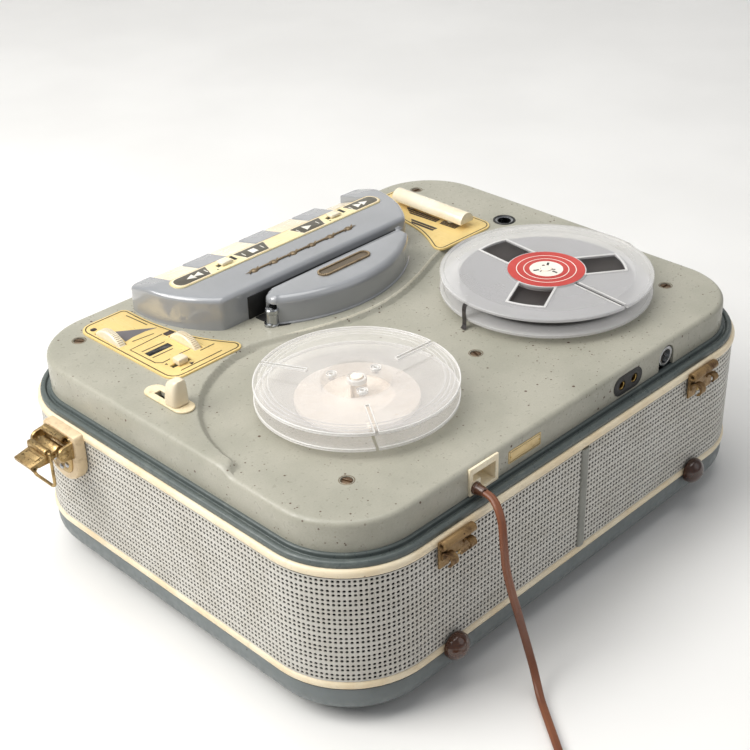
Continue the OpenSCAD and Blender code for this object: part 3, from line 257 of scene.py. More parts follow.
WINDOW_GLASS = moulded_plastic("window_glass", srgb(26, 27, 26), srgb(18, 19, 18), 0.08, 0.002, 0.6)
FOOT_BROWN = moulded_plastic("foot_brown", srgb(78, 46, 30), srgb(58, 32, 20), 0.16, 0.02, 0.5)
HANDLE_BLACK = moulded_plastic("handle_black", srgb(48, 45, 42), srgb(36, 34, 32), 0.4, 0.06)
PLUG_BROWN = moulded_plastic("plug_brown", srgb(92, 58, 40), srgb(78, 46, 30), 0.25, 0.01, 0.3)
CORD_BROWN = moulded_plastic("cord_brown", srgb(128, 78, 52), srgb(110, 64, 42), 0.36, 0.01)
RED_PRINT = moulded_plastic("red_print", srgb(196, 66, 58), srgb(182, 54, 48), 0.36)
WHITE_PRINT = moulded_plastic("white_print", srgb(238, 235, 226), srgb(228, 224, 212), 0.4)
DARK_PRINT = moulded_plastic("dark_print", srgb(66, 56, 36), srgb(54, 46, 30), 0.45)
BLACK_PRINT = moulded_plastic("black_print", srgb(40, 38, 34), srgb(30, 28, 26), 0.45)
PLUM_PRINT = moulded_plastic("plum_print", srgb(58, 44, 40), srgb(46, 36, 32), 0.45)
OVAL_DARK = moulded_plastic("oval_dark", srgb(104, 92, 76), srgb(86, 76, 62), 0.4)
GREY_PRINT = moulded_plastic("grey_print", srgb(104, 100, 102), srgb(94, 90, 92), 0.45)

# %% [markdown]
# Rubber, cloth, wood and lacquered iron are dull. Their colour varies at the size of their own structure:
# pores in rubber, threads in the cloth behind the grille, year rings in plywood.

# %% Finishes: rubber, cloth, wood and works
def rubber(name, colour, dust, rough=0.55):
    f = Finish(name, colour, rough)
    f.colour(f.mix(f.step(f.noise(0.08, 5, 0.7), 0.5, 0.8, 0, 0.6), colour, dust))
    f.roughness(f.noise(0.3, 3), rough - 0.12, rough + 0.15)
    return f.bump(f.noise(1.2, 3), 0.03, 0.5).material


def threads(name, colour, light):
    f = Finish(name, colour, 0.9)
    warp = f.math("SINE", f.node("ShaderNodeSeparateXYZ", vector=f.place(stretch=(6, 6, 6))).outputs[2])
    f.colour(f.mix(f.step(warp, -1, 1, 0, 0.4), colour, light))
    return f.bump(warp, 0.1, 0.6).material


def plywood(name, light, dark):
    f = Finish(name, light, 0.65)
    rings = f.noise(0.12, 5, 0.6, f.place(stretch=(0.15, 0.15, 4)))
    f.colour(f.mix(f.step(rings, 0.3, 0.7), light, dark))
    return f.bump(rings, 0.1, 0.4).material


def worked_metal(name, colour, tarnish, rough=0.3, share=0.4, metal=1.0, brushed=(1, 1, 1)):
    f = Finish(name, colour, rough, metal)
    stain = f.step(f.noise(0.12, 5, 0.7), 0.45, 0.72, 0, share)
    pits = f.specks(3.0, 0.7, 0.25 * share)
    f.colour(f.mix(f.math("MAXIMUM", stain, pits), colour, tarnish))
    f.roughness(f.math("ADD", f.noise(0.8, 3, 0.5, f.place(stretch=brushed)), f.math("MULTIPLY", stain, 0.4)),
                rough - 0.08, rough + 0.25)
    return f.bump(f.noise(1.5, 2, 0.5, f.place(stretch=brushed)), 0.02, 0.4).material


GASKET_RUBBER = rubber("gasket_rubber", srgb(84, 92, 90), srgb(122, 128, 122), 0.36)
BLACK_RUBBER = rubber("black_rubber", srgb(38, 38, 37), srgb(80, 78, 74))
# Near-black cloth behind the grille: partly its own dark colour, partly painted shade of the case's inside.
GRILLE_CLOTH_AND_SHADE = threads("grille_cloth", srgb(15, 14, 12), srgb(28, 26, 22))
PLYWOOD = plywood("plywood", srgb(190, 150, 104), srgb(150, 110, 70))
LATCH_BRASS = worked_metal("latch_brass", srgb(182, 156, 110), srgb(84, 60, 40), 0.28, 0.85)
PAD_BRASS = worked_metal("pad_brass", srgb(224, 202, 166), srgb(164, 132, 96), 0.36, 0.5, 0.25)
HINGE_BRASS = worked_metal("hinge_brass", srgb(150, 122, 82), srgb(80, 54, 36), 0.4, 0.95, 0.6)
SCREW_STEEL = worked_metal("screw_steel", srgb(132, 112, 92), srgb(82, 54, 38), 0.38, 0.8)
CUP_RUST = worked_metal("cup_rust", srgb(124, 112, 92), srgb(92, 62, 40), 0.45, 0.9, 0.6)
GUIDE_CHROME = worked_metal("guide_chrome", srgb(172, 174, 176), srgb(120, 118, 112), 0.12, 0.1,
                            1.0, (0.06, 0.06, 0.06))
WORKS_STEEL = worked_metal("works_steel", srgb(176, 178, 176), srgb(128, 118, 100), 0.35, 0.4)
PULLEY_BRASS = worked_metal("pulley_brass", srgb(206, 172, 102), srgb(130, 96, 50), 0.28, 0.3)
TRIM_BRONZE = worked_metal("trim_bronze", srgb(148, 130, 104), srgb(86, 72, 56), 0.28, 0.7, 0.7)
PLATE_GOLD = worked_metal("plate_gold", srgb(240, 212, 142), srgb(218, 182, 108), 0.34,
                          0.35, 0.3, (1, 0.05, 1))
STRIP_GOLD = worked_metal("strip_gold", srgb(242, 230, 184), srgb(224, 202, 144), 0.32,
                          0.35, 0.15, (0.05, 1, 1))
LABEL_GOLD = worked_metal("label_gold", srgb(214, 190, 140), srgb(172, 142, 98), 0.36, 0.4, 0.5, (0.05, 1, 1))
CORE_IRON = worked_metal("core_iron", srgb(84, 82, 78), srgb(52, 44, 38), 0.5, 0.5, 0.7, (1, 1, 6))
BOARD_BROWN = moulded_plastic("board_brown", srgb(150, 112, 66), srgb(124, 90, 50), 0.5, 0.03)

# %% [markdown]
# The clear reel is pressed from thin acrylic. Each of its walls hides a little of what is behind it, so alpha
# stands for clearness. Rims and frames seen edge-on are drawn in a denser white, as a painted highlight. The
# milky reel is the same resin with filler. Tape is wound so tight that its side shows fine rings about the
# reel's axis.

# %% Finishes: reels and tape
TAKEUP_AT = Vector((91, 57))
SUPPLY_AT = Vector((-97, 53))


def ring_height(f, centre, per_mm):
    flat = f.node("ShaderNodeVectorMath", i0=f.place((centre.x, centre.y, 0)), i1=(1, 1, 0))
    flat.operation = "MULTIPLY"
    reach = f.node("ShaderNodeVectorMath", i0=flat.outputs[0])
    reach.operation = "LENGTH"
    return f.math("SINE", f.math("MULTIPLY", reach.outputs["Value"], per_mm))


def acrylic(name, colour, haze, rough, density, centre):
    f = Finish(name, colour, rough, ior=1.49, alpha=density)
    f.colour(f.mix(f.step(f.noise(0.05, 4), 0.4, 0.7), colour, haze))
    f.roughness(f.noise(0.2, 4, 0.6), rough, rough + 0.1)
    return f.bump(ring_height(f, centre, 2.4), 0.01, 0.2).material


def wound_tape(name, colour, sheen, centre):
    f = Finish(name, colour, 0.32)
    rings = ring_height(f, centre, 9.0)
    band = f.math("ADD", f.math("MULTIPLY", rings, 0.3), f.noise(0.05, 3))
    f.colour(f.mix(f.step(band, 0.2, 0.9), colour, sheen))
    return f.bump(rings, 0.06, 0.6).material


CLEAR_RESIN = acrylic("clear_resin", srgb(250, 246, 242), srgb(244, 239, 234), 0.06, 0.2, TAKEUP_AT)
# Denser white for the clear reel's rims and pegs: a painted highlight.
CLEAR_EDGE_HIGHLIGHT = acrylic("clear_edge", srgb(250, 249, 246), srgb(244, 242, 238), 0.06, 0.6, TAKEUP_AT)
CLEAR_RIDGE = acrylic("clear_ridge", srgb(250, 248, 245), srgb(242, 240, 236), 0.06, 0.2, TAKEUP_AT)
MILKY_RESIN = acrylic("milky_resin", srgb(230, 229, 229), srgb(228, 227, 226), 0.18, 0.34, SUPPLY_AT)
# Denser white for the milky reel's raised frames and lips: a painted highlight.
MILKY_EDGE_HIGHLIGHT = acrylic("milky_edge", srgb(242, 241, 238), srgb(236, 235, 231), 0.18, 0.55, SUPPLY_AT)
TAPE_BROWN = wound_tape("tape_brown", srgb(38, 34, 33), srgb(56, 50, 47), SUPPLY_AT)
print("finishes:", len(bpy.data.materials))

# %% [markdown]
# Most pieces below are lists of points joined by faces. A loft joins rings of points, which makes bands,
# rims and tubes. Every piece sits at the origin with its place in its mesh, and rides on the body that
# carries it.

# %% Helpers for meshes
MERGE_DRAWN, MERGE_CAD, MERGE_CELLS = 0.002, 0.003, 0.005


def link(name, mesh):
    made = bpy.data.objects.new(name, mesh)
    bpy.context.scene.collection.objects.link(made)
    return made


def dress(piece, material, body="case", slot=None, stands_for=(), sharp=35):
    mesh = piece.data
    mesh.materials.clear()
    mesh.materials.append(material)
    mesh.polygons.foreach_set("use_smooth", [True] * len(mesh.polygons))
    mesh.set_sharp_from_angle(angle=math.radians(sharp))
    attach(piece, body)
    if stands_for:
        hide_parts(*stands_for)
    return piece


def mesh_of(name, points, faces):
    """A mesh from points in millimetres, merged where they meet."""
    mesh = bpy.data.meshes.new(name)
    mesh.from_pydata([Vector(p) * MM for p in points], [], faces)
    bm = bmesh.new()
    bm.from_mesh(mesh)
    bmesh.ops.remove_doubles(bm, verts=bm.verts, dist=MERGE_DRAWN * MM)
    bmesh.ops.recalc_face_normals(bm, faces=bm.faces)
    bm.to_mesh(mesh)
    bm.free()
    return mesh


def piece_of(name, shape, material, **how):
    return dress(link(name, mesh_of(name, *shape)), material, **how)


def loft(rings, ring_closed=True, along_closed=False, caps=False):
    """Faces between rings of the same number of points, as points and faces."""
    count = len(rings[0])
    points = [tuple(p) for ring in rings for p in ring]
    faces = []
    for i in range(len(rings) - (not along_closed)):
        a, b = i * count, (i + 1) % len(rings) * count
        for k in range(count - (not ring_closed)):
            m = (k + 1) % count
            faces.append((a + k, a + m, b + m, b + k))
    if caps:
        faces.append(tuple(reversed(range(count))))
        faces.append(tuple(range((len(rings) - 1) * count, len(rings) * count)))
    return points, faces


def together(*shapes):
    """Several shapes as one."""
    points, faces = [], []
    for more, sides in shapes:
        faces += [tuple(i + len(points) for i in side) for side in sides]
        points += more
    return points, faces


def polar(a):
    return Vector((math.cos(a), math.sin(a)))


def rect(x0, x1, y0, y1):
    return [(x0, y0), (x1, y0), (x1, y1), (x0, y1)]


def fillet(corners, radii, steps=5):
    """A closed outline with its corners rounded."""
    out = []
    for i, (corner, r) in enumerate(zip(corners, radii)):
        p = Vector(corner)
        if r <= 0:
            out.append(p)
            continue
        u = (Vector(corners[i - 1]) - p).normalized()
        w = (Vector(corners[(i + 1) % len(corners)]) - p).normalized()
        half = u.angle(w) / 2
        centre = p + (u + w).normalized() * r / math.sin(half)
        first, last = p + u * r / math.tan(half) - centre, p + w * r / math.tan(half) - centre
        start = math.atan2(first.y, first.x)
        sweep = (math.atan2(last.y, last.x) - start + math.pi) % (2 * math.pi) - math.pi
        for k in range(steps + 1):
            a = start + sweep * k / steps
            out.append(centre + r * polar(a))
    return out


def arc(centre, r, start, end, steps):
    """Points on a circle between two angles in degrees."""
    turns = [math.radians(start + (end - start) * k / steps) for k in range(steps + 1)]
    return [Vector(centre) + r * polar(a) for a in turns]


def circle(centre, r, sides):
    return arc(centre, r, 0, 360 * (1 - 1 / sides), sides - 1)


def inset(outline, d):
    """An anticlockwise outline moved in by d."""
    out = []
    for i, p in enumerate(outline):
        before = (p - outline[i - 1]).normalized()
        after = (outline[(i + 1) % len(outline)] - p).normalized()
        way = before + after
        normal = Vector((-way.y, way.x)).normalized()
        out.append(p + normal * d / max(0.4, normal.dot(Vector((-before.y, before.x)))))
    return out


def at_height(outline, z):
    return [(p.x, p.y, z) for p in outline]


def prism(outline, z0, z1):
    return loft([at_height(outline, z) for z in (z0, z1)], caps=True)


def post(centre, r, z0, z1, sides=40):
    return prism(circle(centre, r, sides), z0, z1)


def block(x, y, w, d, z0, z1):
    """An upright block about (x, y)."""
    return prism([Vector(p) for p in rect(x - w / 2, x + w / 2, y - d / 2, y + d / 2)], z0, z1)


def slab(outline, z0, z1, edge=0.3):
    """A plate with its upper edge rounded off."""
    rings = [at_height(outline, z0), at_height(outline, z1 - edge),
             at_height(inset(outline, 0.3 * edge), z1 - 0.3 * edge), at_height(inset(outline, edge), z1)]
    return loft(rings, caps=True)


def ribbon(outline, d0, d1, z0, z1):
    """A flat line along an outline, between two insets."""
    wide, narrow = inset(outline, d0), inset(outline, d1)
    return loft([at_height(wide, z0), at_height(wide, z1), at_height(narrow, z1), at_height(narrow, z0)],
                along_closed=True)


def revolve(profile, centre, steps=96):
    """A closed profile of (radius, height) turned about a vertical axis."""
    rings = []
    for r, z in profile:
        rings.append([(centre.x + r * math.cos(2 * math.pi * k / steps),
                       centre.y + r * math.sin(2 * math.pi * k / steps), z) for k in range(steps)])
    return loft(rings, along_closed=True)


def softened(node, width, steps=2, sharp=32):
    """A merged copy of a CAD node with its sharp edges rounded."""
    bm = bmesh.new()
    bm.from_mesh(frame["nodes"][node].data)
    bmesh.ops.remove_doubles(bm, verts=bm.verts, dist=MERGE_CAD * MM)
    bmesh.ops.dissolve_limit(bm, angle_limit=math.radians(0.6), verts=bm.verts, edges=bm.edges)
    hard = [e for e in bm.edges if len(e.link_faces) == 2 and e.calc_face_angle(0) > math.radians(sharp)]
    bmesh.ops.bevel(bm, geom=hard, offset=width * MM, offset_type="OFFSET", segments=steps, profile=0.5,
                    affect="EDGES", clamp_overlap=True)
    bmesh.ops.triangulate(bm, faces=[f for f in bm.faces if len(f.verts) > 4])
    mesh = bpy.data.meshes.new(node + "_soft")
    bm.to_mesh(mesh)
    bm.free()
    return mesh


def soft_piece(node, material, width=0.5, steps=2, slot=None, sharp=32):
    body = next(b for b, nodes in frame["record"]["behaviour"]["bodies"].items() if node in nodes)
    made = link(node + "_dressed", softened(node, width, steps, sharp))
    return dress(made, material, body, slot, (node,))


def span(node):
    """The box of a CAD node in millimetres."""
    low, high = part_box(node)
    return low / MM, high / MM


# %% [markdown]
# What repeats is made by Geometry Nodes. One tree sets a copy of a small piece on each point of a cloud,
# turned as the point's own attribute says. The copies are realized, and the result becomes a plain mesh.

# %% Tree: copies on points
def new_tree(name, **inputs):
    tree = bpy.data.node_groups.new(name, "GeometryNodeTree")
    for key, kind in inputs.items():
        tree.interface.new_socket(key.replace("_", " "), in_out="INPUT", socket_type="NodeSocket" + kind)
    tree.interface.new_socket("Geometry", in_out="OUTPUT", socket_type="NodeSocketGeometry")
    return tree


def connect(tree, *links):
    for a, out, b, into in links:
        tree.links.new(a.outputs[out], b.inputs[into])
    return tree


def copies_tree():
    tree = new_tree("Copies on points", Geometry="Geometry", Piece="Object", Finish="Material")
    add = tree.nodes.new
    start, end = add("NodeGroupInput"), add("NodeGroupOutput")
    copy, turn = add("GeometryNodeObjectInfo"), add("GeometryNodeInputNamedAttribute")
    turn.data_type = "FLOAT_VECTOR"
    turn.inputs["Name"].default_value = "turn"
    spread, real, paint = (add("GeometryNode" + kind) for kind in
                           ("InstanceOnPoints", "RealizeInstances", "SetMaterial"))
    return connect(tree, (start, "Geometry", spread, "Points"), (start, "Piece", copy, "Object"),
                   (copy, "Geometry", spread, "Instance"), (turn, "Attribute", spread, "Rotation"),
                   (spread, 0, real, 0), (real, 0, paint, "Geometry"), (start, "Finish", paint, "Material"),
                   (paint, 0, end, 0))


COPIES = copies_tree()


def run_tree(holder, tree, name, **inputs):
    """The tree's result as a plain mesh on a new object; the holder and its helpers go."""
    modifier = holder.modifiers.new(tree.name, "NODES")
    modifier.node_group = tree
    sockets = {s.name: s.identifier for s in tree.interface.items_tree if s.in_out == "INPUT"}
    for key, value in inputs.items():
        modifier[sockets[key.replace("_", " ").capitalize()]] = value
    bpy.context.view_layer.update()
    graph = bpy.context.evaluated_depsgraph_get()
    mesh = bpy.data.meshes.new_from_object(holder.evaluated_get(graph), depsgraph=graph)
    for gone in [holder] + [v for v in inputs.values() if isinstance(v, bpy.types.Object)]:
        bpy.data.objects.remove(gone)
    return link(name, mesh)


def copies(name, shape, places, material, **how):
    """Copies of a small shape on places, each a point and three angles in degrees."""
    cloud = bpy.data.meshes.new(name + "_points")
    cloud.from_pydata([Vector(p) * MM for p, _ in places], [], [])
    turn = cloud.attributes.new("turn", "FLOAT_VECTOR", "POINT")
    for i, (_, angles) in enumerate(places):
        turn.data[i].vector = [math.radians(a) for a in angles]
    small = link(name + "_one", mesh_of(name + "_one", *shape))
    made = run_tree(link(name + "_cloud", cloud), COPIES, name, piece=small, finish=material)
    return dress(made, material, **how)


# %% [markdown]
# The mains lead is a flat twin lead: two round cores side by side, with a groove between them. It leaves
# the inlet frame through its strain relief, drops to the table and runs out of the picture, where the rest
# lies in a coil of two layers. Its points are those of the CAD tube, in metres, and the coil follows the
# same formula.

# %% Mains lead
LEAD_ROUTE = [
    (0.095, 0.164, 0.1253), (0.0955, 0.170, 0.1243), (0.0975, 0.176, 0.121), (0.0995, 0.1805, 0.115),
    (0.1015, 0.1835, 0.1075), (0.1025, 0.1855, 0.098), (0.1025, 0.187, 0.0875), (0.101, 0.1885, 0.0765),
    (0.099, 0.190, 0.0655), (0.0965, 0.1915, 0.0545), (0.0945, 0.193, 0.044), (0.093, 0.195, 0.034),
    (0.0925, 0.198, 0.0245), (0.0935, 0.2025, 0.0155), (0.0965, 0.208, 0.0085), (0.1015, 0.215, 0.0043),
    (0.1085, 0.2245, 0.0033), (0.116, 0.2345, 0.0033), (0.1235, 0.2445, 0.0033), (0.131, 0.2545, 0.0033),
    (0.1385, 0.2645, 0.0033), (0.146, 0.2745, 0.0033), (0.152, 0.2825, 0.0033),
]
LEAD_W = 5.2
LEAD_LEVEL = LEAD_ROUTE[-1][2]
COIL_STEP = 0.0058
COIL_OUT = 0.040
COIL_HEADING = math.radians(53.13)
COIL_TURNS = 3
POINTS_PER_TURN = 48


def coil_points():
    ahead = Vector((math.cos(COIL_HEADING), math.sin(COIL_HEADING), 0))
    entry = Vector(LEAD_ROUTE[-1]) + LEAD_W * MM * ahead
    middle = entry + COIL_OUT * Vector((ahead.y, -ahead.x, 0))
    out = []
    for i in range(int((2 * COIL_TURNS + 0.25) * POINTS_PER_TURN) + 1):
        t = i / POINTS_PER_TURN
        r = COIL_OUT - COIL_STEP * (t if t < COIL_TURNS else 2 * COIL_TURNS - t)
        a = math.pi / 2 + COIL_HEADING - 2 * math.pi * t
        rise = min(1, max(0, (t - COIL_TURNS + 0.25) / 0.5))
        out.append(Vector((middle.x + r * math.cos(a), middle.y + r * math.sin(a),
                           LEAD_LEVEL + COIL_STEP * rise * rise * (3 - 2 * rise))))
    tangent = (out[-1] - out[-2]).normalized()
    return out + [out[-1] + LEAD_W * MM * tangent]


def smooth_line(points, parts=6):
    """A curve through the points, with a few more between each two."""
    out = []
    for i in range(len(points) - 1):
        p0, p1, p2, p3 = (Vector(points[min(max(j, 0), len(points) - 1)]) for j in range(i - 1, i + 3))
        for k in range(parts):
            t = k / parts
            out.append(0.5 * (2 * p1 + (p2 - p0) * t + (2 * p0 - 5 * p1 + 4 * p2 - p3) * t * t
                              + (3 * p1 - p0 - 3 * p2 + p3) * t ** 3))
    return out + [Vector(points[-1])]


def twin_section(width, core=1.65, steps=9):
    """Two round cores side by side, as (across, up)."""
    off = width / 2 - core
    open_half = math.degrees(math.acos(-off / core)) - 6
    right = arc((off, 0), core, -open_half, open_half, steps)
    left = arc((-off, 0), core, 180 - open_half, 180 + open_half, steps)
    return right + left


def sweep(path, section, side):
    """A tube of one section along a path; side is where its width points at the start."""
    rings = []
    for i, p in enumerate(path):
        way = (path[min(i + 1, len(path) - 1)] - path[max(i - 1, 0)]).normalized()
        side = (side - way * side.dot(way)).normalized()
        up = way.cross(side)
        rings.append([p / MM + q.x * side + q.y * up for q in section])
    return loft(rings, caps=True)


lead_line = smooth_line(LEAD_ROUTE) + coil_points()
lead = piece_of("mains_lead", sweep(lead_line, twin_section(LEAD_W), Vector((1, 0, 0))), CORD_BROWN,
                slot="cord_brown", stands_for=("cord", "cord_coil"))
gland = soft_piece("cord_gland", PLUG_BROWN, 0.4, slot="cord_brown")
tie = soft_piece("cord_tie", BLACK_RUBBER, 0.25, slot="black_rubber")
plug = soft_piece("mains_plug", PLUG_BROWN, 0.8, 3, slot="cord_brown")

# %% [markdown]
# The table is a plain pale plane with a curved backdrop far behind. Three large soft lights stand for the
# windows of a room: the key light comes from the picture's left and above, and the others fill the shadows.

# %% Table and light
def table_finish():
    f = Finish("table_white", srgb(236, 235, 232), 0.55)
    f.colour(f.mix(f.step(f.noise(0.004, 3), 0.3, 0.7), srgb(238, 237, 234), srgb(232, 231, 228)))
    return f.bump(f.noise(0.2, 3), 0.05, 0.2).material


TABLE_NEAR, TABLE_FAR, TABLE_HALF, TABLE_Z = 1800, 1560, 4000, -0.3
BACKDROP_R, BACKDROP_TOP = 700, 2200
SKY_COLOUR, SKY_STRENGTH = (0.93, 0.95, 1.0, 1), 0.3
LIT_SPOT = (0, 0, 0.1)


def table():
    view = math.radians(CAMERA_TURN)
    ahead = Vector((-math.sin(view), math.cos(view), 0))
    across = Vector((ahead.y, -ahead.x, 0))
    line = [(-TABLE_NEAR, TABLE_Z), (0, TABLE_Z), (TABLE_FAR, TABLE_Z)]
    line += [(TABLE_FAR + BACKDROP_R * math.sin(a), TABLE_Z + BACKDROP_R * (1 - math.cos(a)))
             for a in (math.radians(10 * k) for k in range(1, 10))]
    line.append((TABLE_FAR + BACKDROP_R, BACKDROP_TOP))
    rings = [[ahead * d + across * s + Vector((0, 0, z)) for s in (-TABLE_HALF, TABLE_HALF)] for d, z in line]
    made = link("table", mesh_of("table", *loft(rings, ring_closed=False)))
    made.data.materials.append(table_finish())
    made.data.polygons.foreach_set("use_smooth", [True] * len(made.data.polygons))
    return made


def soft_light(name, place, aim, size, power, colour):
    data = bpy.data.lights.new(name, "AREA")
    data.shape, data.size, data.energy, data.color = "DISK", size, power, colour
    light = bpy.data.objects.new(name, data)
    bpy.context.scene.collection.objects.link(light)
    light.location = place
    light.rotation_euler = (Vector(aim) - Vector(place)).to_track_quat("-Z", "Y").to_euler()
    return light


table()
soft_light("window_light", (1.15, -0.55, 1.3), LIT_SPOT, 1.2, 29, (1.0, 0.985, 0.96))
soft_light("ceiling_light", (0.1, -0.3, 2.3), LIT_SPOT, 2.2, 30, (1.0, 0.995, 0.985))
soft_light("room_light", (-0.8, 1.9, 1.3), LIT_SPOT, 1.8, 5, (0.98, 0.99, 1.0))
world = bpy.data.worlds.new("room")
world.use_nodes = True
sky = world.node_tree.nodes["Background"]
sky.inputs["Color"].default_value, sky.inputs["Strength"].default_value = SKY_COLOUR, SKY_STRENGTH
bpy.context.scene.world = world
bpy.context.scene.view_settings.view_transform = "Standard"

# %% [markdown]
# The case is a stack of rings that all follow one rounded rectangle, so each ring is a profile swept round
# it: two cream bands, the rubber rim that the lid closes on, and the painted tray below.

# %% Case rings
bands_low, bands_high = span("cream_bands")
CASE_HALF = bands_high.xy
CASE_R = 60
Z_BAND, Z_RIM = bands_low.z, bands_high.z
BAND_H = 6
BAND_T = 5
RIM_H = 5.5


def round_rect(half, r, steps=16):
    w, d = half
    return fillet([(w, -d), (w, d), (-w, d), (-w, -d)], [r] * 4, steps)


def case_sweep(profile):
    """A closed profile of (inset, height) swept round the case."""
    return loft([at_height(round_rect((CASE_HALF.x - g, CASE_HALF.y - g), CASE_R - g), z)
                 for g, z in profile], along_closed=True)


def band_profile(z):
    return fillet([(0, z), (0, z + BAND_H), (BAND_T, z + BAND_H), (BAND_T, z)], [2.6, 2.6, 0.4, 0.4])


def rim_profile():
    z = Z_RIM
    corners = [(2.5, z), (2.5, z + 4), (6.5, z + 4), (6.5, z + 2.4), (8, z + 2.4), (8, z + RIM_H),
               (11.5, z + RIM_H), (14, z + 3.5), (14, z)]
    return fillet(corners, [0.3, 1.9, 1.6, 0.5, 0.5, 1.2, 0.8, 0.5, 0.2], 4)


bands = together(case_sweep(band_profile(Z_BAND)), case_sweep(band_profile(Z_RIM - BAND_H)))
piece_of("bands", bands, BAND_CREAM, slot="cream_band", stands_for=("cream_bands",))
piece_of("rim", case_sweep(rim_profile()), GASKET_RUBBER, slot="black_rubber", stands_for=("rim_gasket",))
soft_piece("foot_pads", BLACK_RUBBER, 1.2, 3, "black_rubber")
soft_piece("base_tray", TRAY_PAINT, 0.6, 2, "tray_grey")
print("case: %.0f x %.0f mm" % (2 * CASE_HALF.x, 2 * CASE_HALF.y))

# %% [markdown]
# The grille is a painted sheet bent round the case, with about ten thousand small holes of six sides each.
# The holes stand in columns, and their rows come in pairs. The small cell below holds one pair of holes
# with the depth of the sheet. A tree sets the cells in a column and the columns along the case's outline.
# Behind it hangs the loudspeaker's cloth, near black: partly the cloth's own dark colour, partly painted
# shade of the case's inside, seen through the holes.

# %% Tree: perforated sheet
def perforated_tree():
    tree = new_tree("Perforated sheet", Geometry="Geometry", Cell="Object", Columns="Int", Pairs="Int",
                    Pair_pitch="Float", Finish="Material")
    add = tree.nodes.new
    start, end, cell = add("NodeGroupInput"), add("NodeGroupOutput"), add("GeometryNodeObjectInfo")
    up, line = add("ShaderNodeCombineXYZ"), add("GeometryNodeMeshLine")
    column = add("GeometryNodeInstanceOnPoints")
    posts, turn = add("GeometryNodeCurveToPoints"), add("FunctionNodeAlignRotationToVector")
    sheet, real, paint = (add("GeometryNode" + kind) for kind in
                          ("InstanceOnPoints", "RealizeInstances", "SetMaterial"))
    posts.mode = "COUNT"
    turn.axis, turn.pivot_axis = "X", "Z"
    return connect(tree, (start, "Cell", cell, "Object"), (start, "Pair pitch", up, "Z"),
                   (start, "Pairs", line, "Count"), (up, 0, line, "Offset"), (line, 0, column, "Points"),
                   (cell, "Geometry", column, "Instance"), (start, "Geometry", posts, "Curve"),
                   (start, "Columns", posts, "Count"), (posts, "Tangent", turn, "Vector"),
                   (posts, "Points", sheet, "Points"), (column, 0, sheet, "Instance"),
                   (turn, 0, sheet, "Rotation"), (sheet, 0, real, 0), (real, 0, paint, "Geometry"),
                   (start, "Finish", paint, "Material"), (paint, 0, end, 0))


# %% Grille
GRILLE_SET = 1.2
GRILLE_LOW = Z_BAND + BAND_H
GRILLE_H = Z_RIM - BAND_H - GRILLE_LOW
HOLE_R = 1.08
HOLE_SIDES = 6
HOLE_DEPTH = 0.6
ROW_PAIRS = 11
PAIR_PITCH = GRILLE_H / ROW_PAIRS
PAIR_NEAR = 0.43 * PAIR_PITCH
COLUMN_PITCH = 3.1


def hole_cell(width, z0, z1, middle):
    """A bit of sheet round one hole; the sheet faces -Y."""
    edge = [(width / 2, middle), (width / 2, z1), (-width / 2, z1), (-width / 2, middle),
            (-width / 2, z0), (width / 2, z0)]
    turns = [2 * math.pi * k / HOLE_SIDES for k in range(HOLE_SIDES)]
    hole = [(HOLE_R * math.cos(a), middle + HOLE_R * math.sin(a)) for a in turns]
    return loft([[(x, 0, z) for x, z in edge], [(x, 0, z) for x, z in hole],
                 [(x, HOLE_DEPTH, z) for x, z in hole]])


def grille_path():
    curve = bpy.data.curves.new("grille_path", "CURVE")
    curve.dimensions = "3D"
    outline = round_rect((CASE_HALF.x - GRILLE_SET, CASE_HALF.y - GRILLE_SET), CASE_R - GRILLE_SET, 24)
    line = curve.splines.new("POLY")
    line.points.add(len(outline) - 1)
    for spot, p in zip(line.points, outline):
        spot.co = (p.x * MM, p.y * MM, GRILLE_LOW * MM, 1)
    line.use_cyclic_u = True
    length = sum((b - a).length for a, b in zip(outline, outline[1:] + outline[:1]))
    return link("grille_path", curve), length


path, path_length = grille_path()
columns = round(path_length / COLUMN_PITCH)
low_hole = PAIR_PITCH / 2 - PAIR_NEAR / 2
cell = together(hole_cell(path_length / columns + 0.02, 0, PAIR_PITCH / 2, low_hole),
                hole_cell(path_length / columns + 0.02, PAIR_PITCH / 2, PAIR_PITCH, PAIR_PITCH - low_hole))
cell_piece = link("hole_cell", mesh_of("hole_cell", *cell))
sheet = run_tree(path, perforated_tree(), "grille_sheet", cell=cell_piece, columns=columns, pairs=ROW_PAIRS,
                 pair_pitch=PAIR_PITCH * MM, finish=GRILLE_PAINT)


def half_of(piece, name, side):
    """The faces of a mesh on one side of the middle plane."""
    bm = bmesh.new()
    bm.from_mesh(piece.data)
    bmesh.ops.remove_doubles(bm, verts=bm.verts, dist=MERGE_CELLS * MM)
    gone = [f for f in bm.faces if f.calc_center_median().y * side < 0]
    bmesh.ops.delete(bm, geom=gone, context="FACES")
    mesh = bpy.data.meshes.new(name)
    bm.to_mesh(mesh)
    bm.free()
    return link(name, mesh)


for name, side in (("grille_back", 1), ("grille_front", -1)):
    dress(half_of(sheet, name, side), GRILLE_PAINT, slot="grille_grey", stands_for=("grille",), sharp=50)
bpy.data.objects.remove(sheet)
CLOTH_SET = GRILLE_SET + HOLE_DEPTH + 0.1
CLOTH_T = 0.8
cloth_profile = [(CLOTH_SET + g, GRILLE_LOW + share * GRILLE_H)
                 for g, share in ((0, 0), (0, 1), (CLOTH_T, 1), (CLOTH_T, 0))]
# The cloth's near-black colour is partly painted shade seen through the holes.
piece_of("speaker_cloth", case_sweep(cloth_profile), GRILLE_CLOTH_AND_SHADE, slot="grille_grey")
print("grille holes:", 2 * columns * ROW_PAIRS)

# %% [markdown]
# The joint of the sheet is hidden under a half-round strip in the middle of the back.

